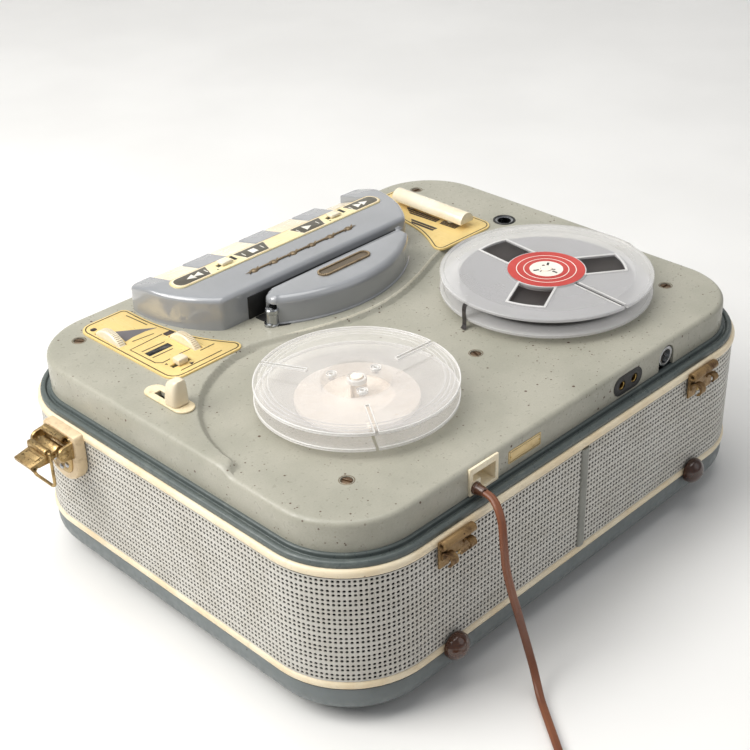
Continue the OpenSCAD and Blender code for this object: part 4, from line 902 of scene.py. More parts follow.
# %% Joint strip
def half_round_strip(x, y, z0, z1, width, rise):
    section = [(x + width / 2 * math.cos(a), y + rise * math.sin(a)) for a in
               (math.pi * k / 10 for k in range(11))]
    return loft([[(px, py, z) for px, py in section] for z in (z0, z1)], caps=True)


strip_low, strip_high = span("joint_strip")
joint_bar = half_round_strip(0, strip_low.y, GRILLE_LOW, GRILLE_LOW + GRILLE_H,
                             strip_high.x - strip_low.x, 1.6)
piece_of("joint_bar", joint_bar, STRIP_GREY, slot="grille_grey", stands_for=("joint_strip",))

# %% [markdown]
# The deck cover is a pressing: a shallow pan with a soft step from the reel area up to the front. The
# step's line is a smooth blend of three circles. A height for each point gives the top, rings round the
# edge give the skirt, and a Solidify and a Boolean modifier give the wall and the openings.

# %% Deck cover: the step
cover_high = span("deck_cover")[1]
Z_COVER, Z_FRONT = Z_RIM + RIM_H, cover_high.z
STEP_H = 4
Z_DECK = Z_FRONT - STEP_H
STEP_RUN = 4.4
COVER_R = 50
COVER_ROUND = 3.6
COVER_WALL = 2.5
RECESS_R = 96
LEDGE_R = 116
STEP_BLEND, LEDGE_BLEND = 6, 26
FINE_PITCH, COARSE_PITCH = 1.4, 9.0
FINE_REACH = 0.75 * STEP_RUN
HEAD_AT = Vector((0, -132))


def blend_min(a, b, k):
    h = max(k - abs(a - b), 0) / k
    return min(a, b) - h * h * k / 4


def front_depth(x, y):
    """How far a point lies inside the raised front of the deck; negative in the reel area."""
    p = Vector((x, y))
    bridge = max(SUPPLY_AT.x - x, x - TAKEUP_AT.x, TAKEUP_AT.y - RECESS_R - y)
    front = blend_min((p - TAKEUP_AT).length - RECESS_R, (p - SUPPLY_AT).length - RECESS_R, STEP_BLEND)
    front = blend_min(blend_min(front, bridge, STEP_BLEND), TAKEUP_AT.y - y, STEP_BLEND)
    return -blend_min(-front, (p - HEAD_AT).length - LEDGE_R, LEDGE_BLEND)


def deck_height(x, y):
    t = min(1, max(0, front_depth(x, y) / STEP_RUN + 0.5))
    return Z_DECK + STEP_H * t * t * (3 - 2 * t)


# %% Deck cover: the pressing
def cover_outline(g):
    """The cover's outline at an inset, always with the same number of points."""
    w, d, r = cover_high.x - g, cover_high.y - g, COVER_R - g
    out = []
    x, y = w - r, d - r
    sides = ((x, y, -2 * x, 0, 72), (-x, y, 0, -2 * y, 48), (-x, -y, 2 * x, 0, 72), (x, -y, 0, 2 * y, 48))
    for k, (cx, cy, along_x, along_y, parts) in enumerate(sides):
        corner = arc((cx, cy), r, 90 * k, 90 * k + 90, 20)
        out += corner + [corner[-1] + Vector((along_x, along_y)) * i / parts for i in range(1, parts)]
    return out


def cover_surface():
    edge = cover_outline(COVER_ROUND)
    tops = [deck_height(p.x, p.y) for p in edge]
    rings = [at_height(cover_outline(0), Z_COVER)]
    for k in range(7):
        a = math.radians(15 * k)
        ring = cover_outline(COVER_ROUND * (1 - math.cos(a)))
        rings.append([(p.x, p.y, top - COVER_ROUND * (1 - math.sin(a))) for p, top in zip(ring, tops)])
    skirt = loft(rings)
    spots = list(edge)
    for pitch, near, far in ((FINE_PITCH, 0, FINE_REACH), (COARSE_PITCH, FINE_REACH, math.inf)):
        across, along = int(2 * cover_high.x / pitch), int(2 * cover_high.y / pitch)
        for i in range(1, across):
            for j in range(1, along):
                p = Vector((-cover_high.x + i * pitch, -cover_high.y + j * pitch))
                corner = Vector((max(abs(p.x) - cover_high.x + COVER_R, 0),
                                 max(abs(p.y) - cover_high.y + COVER_R, 0)))
                if corner.length < COVER_R - COVER_ROUND - 1 and near <= abs(front_depth(p.x, p.y)) < far:
                    spots.append(p)
    loop = [(k, (k + 1) % len(edge)) for k in range(len(edge))]
    made = delaunay_2d_cdt(spots, loop, [], 1, 1e-6)
    top = [(p.x, p.y, deck_height(p.x, p.y)) for p in made[0]]
    return together(skirt, (top, [tuple(f) for f in made[2]]))


# %% Deck cover: its openings
inlet_low, inlet_high = span("inlet_frame")
SOCKET_AT = Vector((-54, 129))
SOCKET_RUN, SOCKET_R = 8, 6
ROUND_AT = Vector((-96.5, 129))
NOTCH_R = 8.2
BUSH_AT = Vector((-164, -41))
BUSH_R = 7.2
FRONT_SCREWS = [Vector((166, -129)), Vector((-162, -131))]
REAR_SCREWS = [Vector((154, 112)), Vector((-162, 108)), Vector((-2, 72))]
SCREW_HOLE_R = 3.9
PLATTER_HOLE_R = 13.5
CONTROL_SLOTS = [(152, -113, 6.8, 28), (121, -73, 6.8, 28), (140, -54, 15, 3.8), (139, -78, 19.2, 5.7)]
SWITCH_SLOT = (172, -25, 4.8, 24)
PAUSE_STEMS = [(-133.5, -108), (-133.5, -68)]
STEM_HOLE_R = 3.4
CAPSTAN_AT = (26, -52)
CUT_DOWN, CUT_UP = 6, 2


def stadium(centre, run, r, steps=14):
    """A long outline with round ends."""
    right, left = Vector((run, 0)), Vector((-run, 0))
    return arc(centre + right, r, -90, 90, steps) + arc(centre + left, r, 90, 270, steps)


def through_back(outline):
    """A prism along Y through the back wall, from an outline of (x, z)."""
    return loft([[(p.x, y, p.y) for p in outline] for y in (cover_high.y - 6, cover_high.y + 4)], caps=True)


def cover_cuts():
    wide = (inlet_high.x - inlet_low.x) / 2 - 0.9
    middle = (inlet_high.x + inlet_low.x) / 2
    inlet = fillet([(middle + wide, Z_COVER + 1.0), (middle + wide, inlet_high.z - 2.4),
                    (middle - wide, inlet_high.z - 2.4), (middle - wide, Z_COVER + 1.0)], [1.5] * 4)
    notch = arc(ROUND_AT, NOTCH_R, 0, 180, 20)
    notch += [Vector((ROUND_AT.x + side * NOTCH_R, Z_COVER - 2)) for side in (-1, 1)]
    shapes = [through_back(o) for o in (inlet, stadium(SOCKET_AT, SOCKET_RUN + 0.1, SOCKET_R), notch)]
    front, deck = (Z_FRONT - CUT_DOWN, Z_FRONT + CUT_UP), (Z_DECK - CUT_DOWN, Z_DECK + CUT_UP)
    shapes += [post(p, SCREW_HOLE_R, *front) for p in FRONT_SCREWS]
    shapes += [post(p, SCREW_HOLE_R, *deck) for p in REAR_SCREWS]
    shapes += [post(p, PLATTER_HOLE_R, *deck) for p in (TAKEUP_AT, SUPPLY_AT)]
    shapes.append(post(BUSH_AT, BUSH_R, deck[0], front[1]))
    shapes += [block(*slot, *front) for slot in CONTROL_SLOTS + [SWITCH_SLOT]]
    shapes += [post(p, STEM_HOLE_R, *front, 20) for p in PAUSE_STEMS]
    shapes.append(post(CAPSTAN_AT, 5, *front, 24))
    return link("cover_cuts", mesh_of("cover_cuts", *together(*shapes)))


def modified(piece):
    """The piece with its modifiers applied."""
    bpy.context.view_layer.update()
    graph = bpy.context.evaluated_depsgraph_get()
    mesh = bpy.data.meshes.new_from_object(piece.evaluated_get(graph), depsgraph=graph)
    piece.modifiers.clear()
    piece.data = mesh
    return piece


cover = link("deck_pressing", mesh_of("deck_pressing", *cover_surface()))
wall = cover.modifiers.new("wall", "SOLIDIFY")
wall.thickness, wall.offset = COVER_WALL * MM, -1
cuts = cover_cuts()
opening = cover.modifiers.new("openings", "BOOLEAN")
opening.operation, opening.solver, opening.object = "DIFFERENCE", "EXACT", cuts
dress(modified(cover), DECK_PAINT, slot="deck_paint", stands_for=("deck_cover",), sharp=30)
bpy.data.objects.remove(cuts)
print("deck cover faces:", len(cover.data.polygons))

# %% [markdown]
# The paint along the top of the step is drawn lighter: partly worn bright by hands and dusters, partly a
# painted highlight of the step's rounded edge. The line follows the step exactly: it is traced along a level
# of the same depth function, and laid as a thin strip just above the pressing.

# %% Worn line with a painted highlight on the step
WORN_HIGHLIGHT_LEVEL = 0.35 * STEP_RUN
WORN_HIGHLIGHT_HALF = 1.0
WORN_HIGHLIGHT_UP, WORN_HIGHLIGHT_DOWN = 0.12, -0.15
WORN_HIGHLIGHT_TAPER = 0.08


def depth_slope(p, reach=0.2):
    dx = front_depth(p.x + reach, p.y) - front_depth(p.x - reach, p.y)
    dy = front_depth(p.x, p.y + reach) - front_depth(p.x, p.y - reach)
    return Vector((dx, dy)) / (2 * reach)


def trace_step(start, way, length, stride=1.5):
    """Points along the step's upper edge, from a start near it."""
    p, out = Vector(start), []
    for _ in range(int(length / stride)):
        for _ in range(4):
            slope = depth_slope(p)
            p = p - slope * (front_depth(p.x, p.y) - WORN_HIGHLIGHT_LEVEL) / max(slope.length_squared, 0.05)
        out.append(p.copy())
        slope = depth_slope(p).normalized()
        p = p + way * stride * Vector((-slope.y, slope.x))
    return out


# The strip is lighter paint: partly wear, partly a painted highlight along the step's edge.
def worn_highlight_strip(points):
    rings = []
    for i, p in enumerate(points):
        across = depth_slope(p).normalized()
        half = WORN_HIGHLIGHT_HALF * min(1, WORN_HIGHLIGHT_TAPER * i, WORN_HIGHLIGHT_TAPER * (len(points) - 1 - i)) + 0.02
        ring = []
        for share in (-1, -0.4, 0.4, 1):
            q = p + across * half * share
            ring.append((q.x, q.y, deck_height(q.x, q.y) + (WORN_HIGHLIGHT_UP if abs(share) < 1 else WORN_HIGHLIGHT_DOWN)))
        rings.append(ring)
    return loft(rings, caps=True)


worn_highlight = list(reversed(trace_step((10, -14), 1, 66))) + trace_step((10, -14), -1, 150)[1:]
piece_of("step_worn", worn_highlight_strip(worn_highlight), DECK_WORN_HIGHLIGHT, slot="deck_paint")
print("worn line from", tuple(round(v) for v in worn_highlight[0]), "to", tuple(round(v) for v in worn_highlight[-1]))

# %% [markdown]
# Small fittings on the case: slotted screws sunk in their holes, the grommet in the deck, brown domed feet
# on the back and two worn hinge leaves. The screws repeat, so one head is modelled and the tree sets it in
# each hole.

# %% Screws, grommet and feet
def mapped(shape, rule):
    """A shape with each of its points moved by a rule."""
    points, faces = shape
    return [rule(*p) for p in points], faces


def side_on(shape):
    """A shape drawn flat, stood up so that its height runs along X."""
    return mapped(shape, lambda u, v, w: (w, u, v))


def edge_on(shape):
    """A shape drawn flat, stood up so that its height runs along Y."""
    return mapped(shape, lambda u, v, w: (u, w, v))


def mirrored(shape):
    return mapped(shape, lambda x, y, z: (-x, y, z))


def dome(r, rise, steps=16):
    """A rivet's head, standing on the ground."""
    rings = [at_height(circle((0, 0), max(r * math.cos(a), 0.02), steps), rise * math.sin(a))
             for a in (math.radians(18 * k) for k in range(6))]
    return loft(rings, caps=True)


def slotted_head(r=3.4, slot=0.6):
    half = arc((0, 0), r, -82, 82, 14)
    half = [p + Vector((slot, 0)) * 0.4 for p in half]
    other = [-p for p in half]
    return together(slab(half, -2, -0.25, 0.5), slab(other, -2, -0.25, 0.5), post((0, 0), r, -2.6, -1.3, 28))


screw_places = [((p.x, p.y, Z_FRONT), (0, 0, 35 + 50 * k)) for k, p in enumerate(FRONT_SCREWS)]
screw_places += [((p.x, p.y, Z_DECK), (0, 0, 20 + 70 * k)) for k, p in enumerate(REAR_SCREWS)]
copies("slotted_screws", slotted_head(), screw_places, SCREW_STEEL, slot="screw_steel",
       stands_for=("deck_screws",))
washer = revolve([(3.5, -1.0), (3.9, -0.9), (4.3, 0.05), (4.6, 0.12), (4.9, 0.0), (4.9, -0.3),
                  (3.5, -1.4)], Vector((0, 0)), 36)
copies("screw_cups", washer, screw_places, CUP_RUST, slot="screw_steel")
grommet = [(6.9, Z_FRONT - 3), (6.7, Z_FRONT + 0.3), (7.2, Z_FRONT + 0.8), (8.1, Z_FRONT + 0.8),
           (8.6, Z_FRONT + 0.3), (8.6, Z_FRONT - 0.2), (7.2, Z_FRONT - 3)]
piece_of("deck_grommet", revolve(grommet, BUSH_AT, 48), BLACK_RUBBER, slot="black_rubber")
sleeve = [(5.1, Z_FRONT - 9), (5.2, Z_FRONT - 0.2), (6.7, Z_FRONT + 0.2),
          (6.9, Z_FRONT - 0.2), (6.9, Z_FRONT - 9)]
piece_of("grommet_sleeve", revolve(sleeve, BUSH_AT, 48), GUIDE_CHROME, slot="works_steel")
soft_piece("back_feet", FOOT_BROWN, 1.4, 4, "brown_plastic")
print("screws:", len(screw_places))

# %% [markdown]
# Each hinge half is a bent leaf with a rolled knuckle, and a strap of it curls out to take the lid's half.
# The curl is a C-shaped ring drawn edge-on and given a width.

# %% Hinges
HINGE_X = 123
CURLS = [(4.3, 1.1, 103, 205, -75, 6.5, 12.0), (3.2, 1.0, 104, 190, -60, -11.5, -6.5)]
HINGE_FACE = span("hinge_leaves")[0].y + 1.5


def curl(centre, r, thick, start, end, steps=14):
    """A strip bent to an arc, as an outline."""
    return arc(centre, r, start, end, steps) + list(reversed(arc(centre, r - thick, start, end, steps)))


soft_piece("hinge_leaves", HINGE_BRASS, 0.4, 2, "aged_brass")
hooks = [side_on(slab(curl((HINGE_FACE + r, z), r, thick, start, end), x + x0, x + x1, 0.2))
         for x in (-HINGE_X, HINGE_X) for r, thick, z, start, end, x0, x1 in CURLS]
piece_of("hinge_hooks", together(*hooks), HINGE_BRASS, slot="aged_brass")
rivets = [((x + dx, HINGE_FACE, 98.5), (-90, 0, 0)) for x in (-HINGE_X, HINGE_X) for dx in (-3, 3)]
copies("hinge_rivets", dome(1.5, 0.8, 12), rivets, LATCH_BRASS, slot="aged_brass")
print("hinge hooks:", len(hooks))

# %% [markdown]
# A toggle latch sits on each end of the case. A rounded pad carries two ears with the lever's pin; the
# lever hangs open with a wire bail in it. The right one is drawn, and the left one is its mirror image, so
# both have the same wear.

# %% Latch plates
LATCH_Y = -90
PAD_FACE = 215
PAD_HALF = 18
PAD_LOW = 77
PIN_AT = Vector((221, 105.5))
EAR_Y = 15


def latch_pad():
    round_end = PAD_LOW + PAD_HALF
    outline = arc((LATCH_Y, round_end), PAD_HALF, 180, 360, 24)
    outline += arc((LATCH_Y + PAD_HALF - 3, Z_RIM - 3), 3, 0, 90, 5)
    outline += arc((LATCH_Y - PAD_HALF + 3, Z_RIM - 3), 3, 90, 180, 5)
    return side_on(slab(outline, CASE_HALF.x - 0.4, PAD_FACE, 2.4))


def latch_body():
    front = fillet([(LATCH_Y - 12, 84), (LATCH_Y + 12, 84), (LATCH_Y + 14, 113),
                    (LATCH_Y - 14, 113)], [9, 9, 2, 2])
    shapes = [side_on(slab(front, PAD_FACE - 0.5, PAD_FACE + 1.0, 0.4))]
    ear = [Vector((PAD_FACE, 99.5))] + arc(PIN_AT, 5, -90, 90, 14) + [Vector((PAD_FACE, 111.5))]
    for y in (LATCH_Y - EAR_Y, LATCH_Y + EAR_Y):
        shapes.append(edge_on(slab(ear, y - 1, y + 1, 0.3)))
    pin = mapped(post((0, 0), 1.6, LATCH_Y - EAR_Y - 2, LATCH_Y + EAR_Y + 2, 20),
                 lambda u, v, w: (PIN_AT.x + u, w, PIN_AT.y + v))
    for way in (-1, 1):
        head = dome(2.9, 1.2)
        shapes.append(mapped(head, lambda u, v, w: (PIN_AT.x + u,
                                                    LATCH_Y + way * (EAR_Y + 1 + w), PIN_AT.y + v)))
    strap = curl((PAD_FACE + 2.4, 112.6), 2.6, 0.9, 200, -110)
    shapes.append(edge_on(slab(strap, LATCH_Y - 11, LATCH_Y + 11, 0.2)))
    return together(pin, *shapes)


pad, body = latch_pad(), latch_body()
piece_of("latch_pads", together(pad, mirrored(pad)), PAD_BRASS, slot="aged_brass",
         stands_for=("latch_plates",))
piece_of("latch_bodies", together(body, mirrored(body)), LATCH_BRASS, slot="aged_brass")
pad_rivets = [((side * (PAD_FACE + 1), LATCH_Y + dy, z), (0, side * 90, 0)) for side in (-1, 1)
              for dy, z in ((-7, 91), (7, 91), (0, 87))]
copies("latch_rivets", dome(1.9, 1.0), pad_rivets, GUIDE_CHROME, slot="aged_brass")
print("latch rivets:", len(pad_rivets))

# %% [markdown]
# The lever is bent from sheet: a plate with two side flanges and a rolled lip for the thumb. The bail is a
# closed loop of wire with round corners, which the lever's second barrel carries.

# %% Latch levers and bails
LEVER_TILT = math.radians(12)
LEVER_LEN = 22
LEVER_HALF = 9.5


def on_lever(u, v):
    """A point of the lever's side view: along it from the pin, and square to it."""
    return Vector((PIN_AT.x + u * math.cos(LEVER_TILT) + v * math.sin(LEVER_TILT),
                   PIN_AT.y - u * math.sin(LEVER_TILT) + v * math.cos(LEVER_TILT)))


def lever_trim():
    flange = [on_lever(u, v) for u, v in ((3.5, -2.4), (9, -3.2), (17, -1.6), (19.5, 0.8), (3.5, 0.8))]
    shapes = [edge_on(slab(flange, y0, y0 + 1.2, 0.15)) for y0 in (LATCH_Y - LEVER_HALF,
                                                                   LATCH_Y + LEVER_HALF - 1.2)]
    lip = [on_lever(LEVER_LEN - 2.2 + p.x, 0.3 + p.y) for p in curl((0, 0), 2.2, 0.9, 75, -205, 16)]
    shapes.append(edge_on(slab(lip, LATCH_Y - LEVER_HALF, LATCH_Y + LEVER_HALF, 0.2)))
    ridge = [on_lever(u, v) for u, v in ((12, 2.4), (17, 2.4), (16.4, 3.0), (12.6, 3.0))]
    return together(edge_on(slab(ridge, LATCH_Y - 7, LATCH_Y + 7, 0.2)), *shapes)


def wire(points, r, sides=10):
    """A closed loop of round wire."""
    rings = []
    for i, p in enumerate(points):
        way = (points[(i + 1) % len(points)] - points[i - 1]).normalized()
        side = way.cross(Vector((1, 0, 0))).normalized()
        up = side.cross(way)
        turns = [2 * math.pi * k / sides for k in range(sides)]
        rings.append([p + r * (math.cos(a) * side + math.sin(a) * up) for a in turns])
    return loft(rings, along_closed=True)


bail_low, bail_high = span("latch_bail_r")
BAIL_R = 1.1
bail_x = (bail_low.x + bail_high.x) / 2
loop = fillet(rect(bail_low.y + BAIL_R, bail_high.y - BAIL_R, bail_low.z + BAIL_R, bail_high.z - BAIL_R),
              [4, 4, 1.2, 1.2], 6)
bail = wire([Vector((bail_x, p.x, p.y)) for p in loop], BAIL_R)
trim = lever_trim()
for end, placed in (("r", together), ("l", mirrored)):
    lever_body, bail_body = "latch_lever_" + end, "latch_bail_" + end
    soft_piece(lever_body, LATCH_BRASS, 0.35, 2, "aged_brass")
    piece_of(lever_body + "_trim", placed(trim), LATCH_BRASS, body=lever_body, slot="aged_brass")
    piece_of(bail_body + "_wire", placed(bail), LATCH_BRASS, body=bail_body, slot="aged_brass",
             stands_for=(bail_body,))
print("bail: %.1f mm wide" % (bail_high.y - bail_low.y))

# %% [markdown]
# The carrying handle lies flat on the front: a black moulded grip with finger ridges between two brass
# brackets.

# %% Handle
grip_low = span("handle")[0]
BRACKET_X = 64
soft_piece("handle", HANDLE_BLACK, 1.4, 3, "handle_black")
soft_piece("handle_brackets", LATCH_BRASS, 0.5, 2, "aged_brass")
ridge = slab(fillet(rect(-0.8, 0.8, -2.6, 2.6), [0.7] * 4, 3), -0.4, 0.5, 0.3)
grip_mid = grip_low.z + 8
ridges = [((x, grip_low.y + 0.5, grip_mid), (90, 0, 0)) for x in range(-36, 37, 4)]
copies("grip_ridges", ridge, ridges, HANDLE_BLACK, body="handle", slot="handle_black")
bracket_rivets = [((side * BRACKET_X + dx, -CASE_HALF.y - 0.2, z), (90, 0, 0)) for side in (-1, 1)
                  for dx in (-5, 5) for z in (72, 91)]
copies("bracket_rivets", dome(1.7, 0.9, 12), bracket_rivets, GUIDE_CHROME, slot="aged_brass")
print("grip ridges:", len(ridges))

# %% [markdown]
# The key housing and the head cover are glossy grey mouldings with generous round edges. Both are caps:
# walls that rise from the deck, a quarter round, and a top. The rounding and the foot of the wall may
# differ from point to point, because the housing has a bay for the keys and the head cover is open towards
# the tape slot.

# %% Caps with round edges
def graded_inset(outline, amounts):
    steps = [inset([Vector(p) for p in outline], d) for d in (0, 1)]
    return [a + (b - a) * d for a, b, d in zip(*steps, amounts)]


def filled(edge, inner):
    """Triangles over the inside of an outline, through some inner points."""
    loop = [(k, (k + 1) % len(edge)) for k in range(len(edge))]
    points, _, faces, *_ = delaunay_2d_cdt(list(edge) + inner, loop, [], 1, 1e-5)
    used = sorted({i for f in faces for i in f})
    number = {old: new for new, old in enumerate(used)}
    return [points[i] for i in used], [tuple(number[i] for i in f) for f in faces]


def cap(outline, rounds, bases, top, inner=(), steps=6):
    """A hollow cap: each point of the outline has its own rounding and foot; top gives the height."""
    edge = graded_inset(outline, rounds)
    tops = [top(p.x, p.y) for p in edge]
    rings = [[(p.x, p.y, b) for p, b in zip(outline, bases)]]
    for k in range(steps + 1):
        a = math.pi / 2 * k / steps
        ring = graded_inset(outline, [r * (1 - math.cos(a)) for r in rounds])
        rings.append([(p.x, p.y, max(t - r * (1 - math.sin(a)), b))
                      for p, t, r, b in zip(ring, tops, rounds, bases)])
    flat, faces = filled(edge, list(inner))
    return together(loft(rings), ([(p.x, p.y, top(p.x, p.y)) for p in flat], faces))


def walled(name, shape, thick):
    """A cap with a wall of some thickness."""
    made = link(name, mesh_of(name, *shape))
    if sum(f.normal.z * f.area for f in made.data.polygons) < 0:
        made.data.flip_normals()
    wall = made.modifiers.new("wall", "SOLIDIFY")
    wall.thickness, wall.offset = thick * MM, -1
    return modified(made)


def opened(piece, cutters):
    """A piece with openings cut through it."""
    tool = link(piece.name + "_tool", mesh_of(piece.name + "_tool", *together(*cutters)))
    cut = piece.modifiers.new("cut", "BOOLEAN")
    cut.operation, cut.solver, cut.object, cut.use_self = "DIFFERENCE", "EXACT", tool, True
    modified(piece)
    bpy.data.objects.remove(tool)
    return piece


def cut_piece(name, shape, cutters, material, **how):
    return dress(opened(link(name, mesh_of(name, *shape)), cutters), material, **how)


# %% Key housing
KEYS_X = 5
HOUSING_TOP = 167
HOUSING_ROUND = 3.4
BAY_HALF = 91.4
BAY_BACK = -114
HOUSING_BACK = -67
HOUSING_FRONT = -140
END_R = 81.5
END_X = 30
END_Y = -125
KEY_PITCH = 52
SLOPE_AT = -118
STRIP_Y = -106.5
BUTTONS = (57, -47)
BUTTON_SLOT = (14, 3.8)
SLOPE_FALL = 0.3


def housing_height(_, y):
    """The height of the housing's top at a point; it falls only towards the front."""
    run = max(0, SLOPE_AT - y)
    return HOUSING_TOP - SLOPE_FALL * run * run / (run + 3)


def housing_outline():
    """The plan, anticlockwise, with the rounding and the foot of each point."""
    ends = [math.degrees(math.asin((y - END_Y) / END_R)) for y in (HOUSING_BACK, HOUSING_FRONT)]
    side = arc((KEYS_X + END_X, END_Y), END_R, ends[1] + 7, ends[0] - 5, 30)
    front_right, back_right = (Vector((KEYS_X + END_X + END_R * math.cos(math.radians(a)), y))
                               for a, y in ((ends[1], HOUSING_FRONT), (ends[0], HOUSING_BACK)))
    left_end = Vector((2 * KEYS_X - side[-1].x, side[-1].y))
    shoulder = fillet([side[-1], back_right, left_end], [0, 6, 0], 6)[1:-1]
    nose = fillet([Vector((KEYS_X + BAY_HALF, HOUSING_FRONT)), front_right, side[0]], [0, 6, 0], 6)[1:-1]
    right = nose + side + shoulder
    outer = right + [Vector((2 * KEYS_X - p.x, p.y)) for p in reversed(right)]
    bay = [Vector((KEYS_X - BAY_HALF, HOUSING_FRONT)), Vector((KEYS_X - BAY_HALF, BAY_BACK)),
           Vector((KEYS_X + BAY_HALF, BAY_BACK)), Vector((KEYS_X + BAY_HALF, HOUSING_FRONT))]
    rounds = [HOUSING_ROUND] * len(outer) + [1.0, 0.6, 0.6, 1.0]
    rounds[0] = rounds[len(outer) - 1] = 2.5
    bases = [Z_FRONT] * len(outer) + [Z_FRONT, HOUSING_TOP - 2.5, HOUSING_TOP - 2.5, Z_FRONT]
    return outer + bay, rounds, bases


def bar_along_x(x0, x1, y, z, r):
    return mapped(post((0, 0), r, x0, x1, 24), lambda u, v, w: (w, y + u, z + v))


def key_shape(x0, x1, front, back, edge, lift, drop):
    """A sloping cap between two sides: round in front, square where it goes under the housing."""
    outline = fillet(rect(x0, x1, front, back), [2.2, 2.2, 0, 0], 4)
    rounds = [edge] * (len(outline) - 2) + [0.3, 0.3]
    inner = [Vector(((x0 + x1) / 2, y)) for y in range(-136, round(back), 4)]
    return cap(outline, rounds, [Z_FRONT + lift] * len(outline),
               lambda u, v: housing_height(u, v) - drop, inner)


plan, plan_rounds, plan_bases = housing_outline()
slope_points = [Vector((side * 98 + KEYS_X, y)) for side in (-1, 1) for y in range(-134, -114, 3)]
housing = walled("key_moulding", cap(plan, plan_rounds, plan_bases, housing_height, slope_points), 2.2)
opened(housing, [block(x, STRIP_Y, *BUTTON_SLOT, HOUSING_TOP - 6, HOUSING_TOP + 2) for x in BUTTONS])
dress(housing, HOUSING_GREY, slot="housing_grey", stands_for=("key_housing",), sharp=40)
TAB_HALF = 12.6
tabs = [key_shape(x - TAB_HALF, x + TAB_HALF, HOUSING_FRONT, BAY_BACK + 2, 1.8, 0, 1)
        for x in (KEYS_X + k * KEY_PITCH for k in (-1, 0, 1))]
SHAFT = Vector((-100, 153))
shaft = bar_along_x(KEYS_X - BAY_HALF - 1, KEYS_X + BAY_HALF + 1, SHAFT.x, SHAFT.y, 2.5)
piece_of("key_tabs", together(shaft, *tabs), HOUSING_GREY, slot="housing_grey", sharp=40)


def pressed(shape, turn):
    """A key turned down about its shaft."""
    s, c = math.sin(turn), math.cos(turn)
    return mapped(shape, lambda u, v, w: (u, SHAFT.x + c * (v - SHAFT.x) - s * (w - SHAFT.y),
                                          SHAFT.y + s * (v - SHAFT.x) + c * (w - SHAFT.y)))


KEY_DROP = 1.2
KEY_LIFT = 6
KEY_TURN = 7
LATCHED = "key_4"
for k in range(1, 5):
    name = "key_%d" % k
    low, high = span(name)
    key = key_shape(low.x, high.x, HOUSING_FRONT + 0.6, BAY_BACK - 0.2, 1.6, KEY_LIFT, KEY_DROP)
    key = pressed(key, math.radians(KEY_TURN if name == LATCHED else 0))
    piece_of(name + "_cap", key, KEY_CREAM, body=name, slot="cream_key", stands_for=(name,), sharp=40)
print("tabs:", len(tabs), "housing faces:", len(housing.data.polygons))

# %% Head cover
HEAD_R = 106
HEAD_TOP = 164
HEAD_FRONT = -62
HEAD_RIGHT, HEAD_LEFT = 65, -70


def head_outline():
    right = math.degrees(math.acos(HEAD_RIGHT / HEAD_R))
    left = math.degrees(math.acos(HEAD_LEFT / HEAD_R))
    back = arc(HEAD_AT, HEAD_R, right + 3.5, left - 3.5, 40)
    corners = [(HEAD_RIGHT, HEAD_FRONT), (HEAD_RIGHT, HEAD_AT.y + HEAD_R * math.sin(math.radians(right)))]
    nose = fillet([back[-1], *corners, back[0]], [0, 9, 6.5, 0], 8)[1:-1]
    far = [(HEAD_LEFT, HEAD_AT.y + HEAD_R * math.sin(math.radians(left))), (HEAD_LEFT, HEAD_FRONT)]
    tail = fillet([back[-1], *far, corners[0]], [0, 4.5, 0.4, 0], 7)[1:-1]
    return nose + back + tail


head_plan = head_outline()
in_front = [p.y < HEAD_FRONT + 1.5 or p.x > HEAD_RIGHT - 2.5 for p in head_plan]
head_rounds = [(2.0 if p.x < HEAD_RIGHT - 9 else 4.0) if front else 5.0 if p.x > HEAD_LEFT + 12 else 4.0
               for p, front in zip(head_plan, in_front)]
head_bases = [HEAD_TOP - 5 if front and HEAD_LEFT + 1 < p.x else Z_FRONT
              for p, front in zip(head_plan, in_front)]
head = walled("head_moulding", cap(head_plan, head_rounds, head_bases, lambda x, y: HEAD_TOP), 2.0)
dress(head, HOUSING_GREY, slot="housing_grey", stands_for=("head_cover",), sharp=40)
bead_path = [p for p, front in zip(head_plan, in_front) if not front]


def foot_bead(path):
    """A small bead along the foot of a wall."""
    rings = []
    for before, p, after in zip(path, path[1:], path[2:]):
        n = (after - before).orthogonal().normalized() * -1
        spots = ((p + d * n, z) for d, z in ((0.9, 0), (0.9, 0.9), (0.2, 1.5), (-0.4, 1.5)))
        rings.append([(q.x, q.y, Z_FRONT + z) for q, z in spots])
    return loft(rings, caps=True)


piece_of("head_bead", foot_bead(bead_path), HOUSING_GREY, slot="housing_grey")
# A black sheet on the housing's back wall and a black floor under the head cover are painted shade in the
# tape slot between them.
lining_shade = slab(fillet(rect(-72, 71, Z_FRONT, HOUSING_TOP - 6.5), [0.5] * 4, 2), 0, 0.8, 0.2)
floor_shade = [(-62, -65.6), (67, -65.6), (66, -46), (58, -41), (-56, -41)]
gate_shade = [mapped(lining_shade, lambda u, v, w: (u, HOUSING_BACK - 0.1 + w, v)),
        slab(fillet(floor_shade, [1] * 5, 3), Z_FRONT - 0.1, Z_FRONT + 0.5)]
piece_of("tape_gate", together(*gate_shade), BLACK_PLASTIC_AND_SHADE, slot="housing_grey")
print("head cover points:", len(head_plan))

# %% [markdown]
# A gilt strip runs over the keys. On it lie four dark label plates with cream borders. They carry the plain
# symbols for start, stop, rewind and wind, drawn as flat shapes a tenth of a millimetre thick, with two
# small sliding buttons between.

# %% Label strip
Z_STRIP = 167.8
STRIP_HALF = 7.4
STRIP_ENDS = (-92.2, 102.6)
PRINT = 0.1
LABELS = [(99.8, 70), (44.5, 17), (-9, -37), (-62, -90.2)]


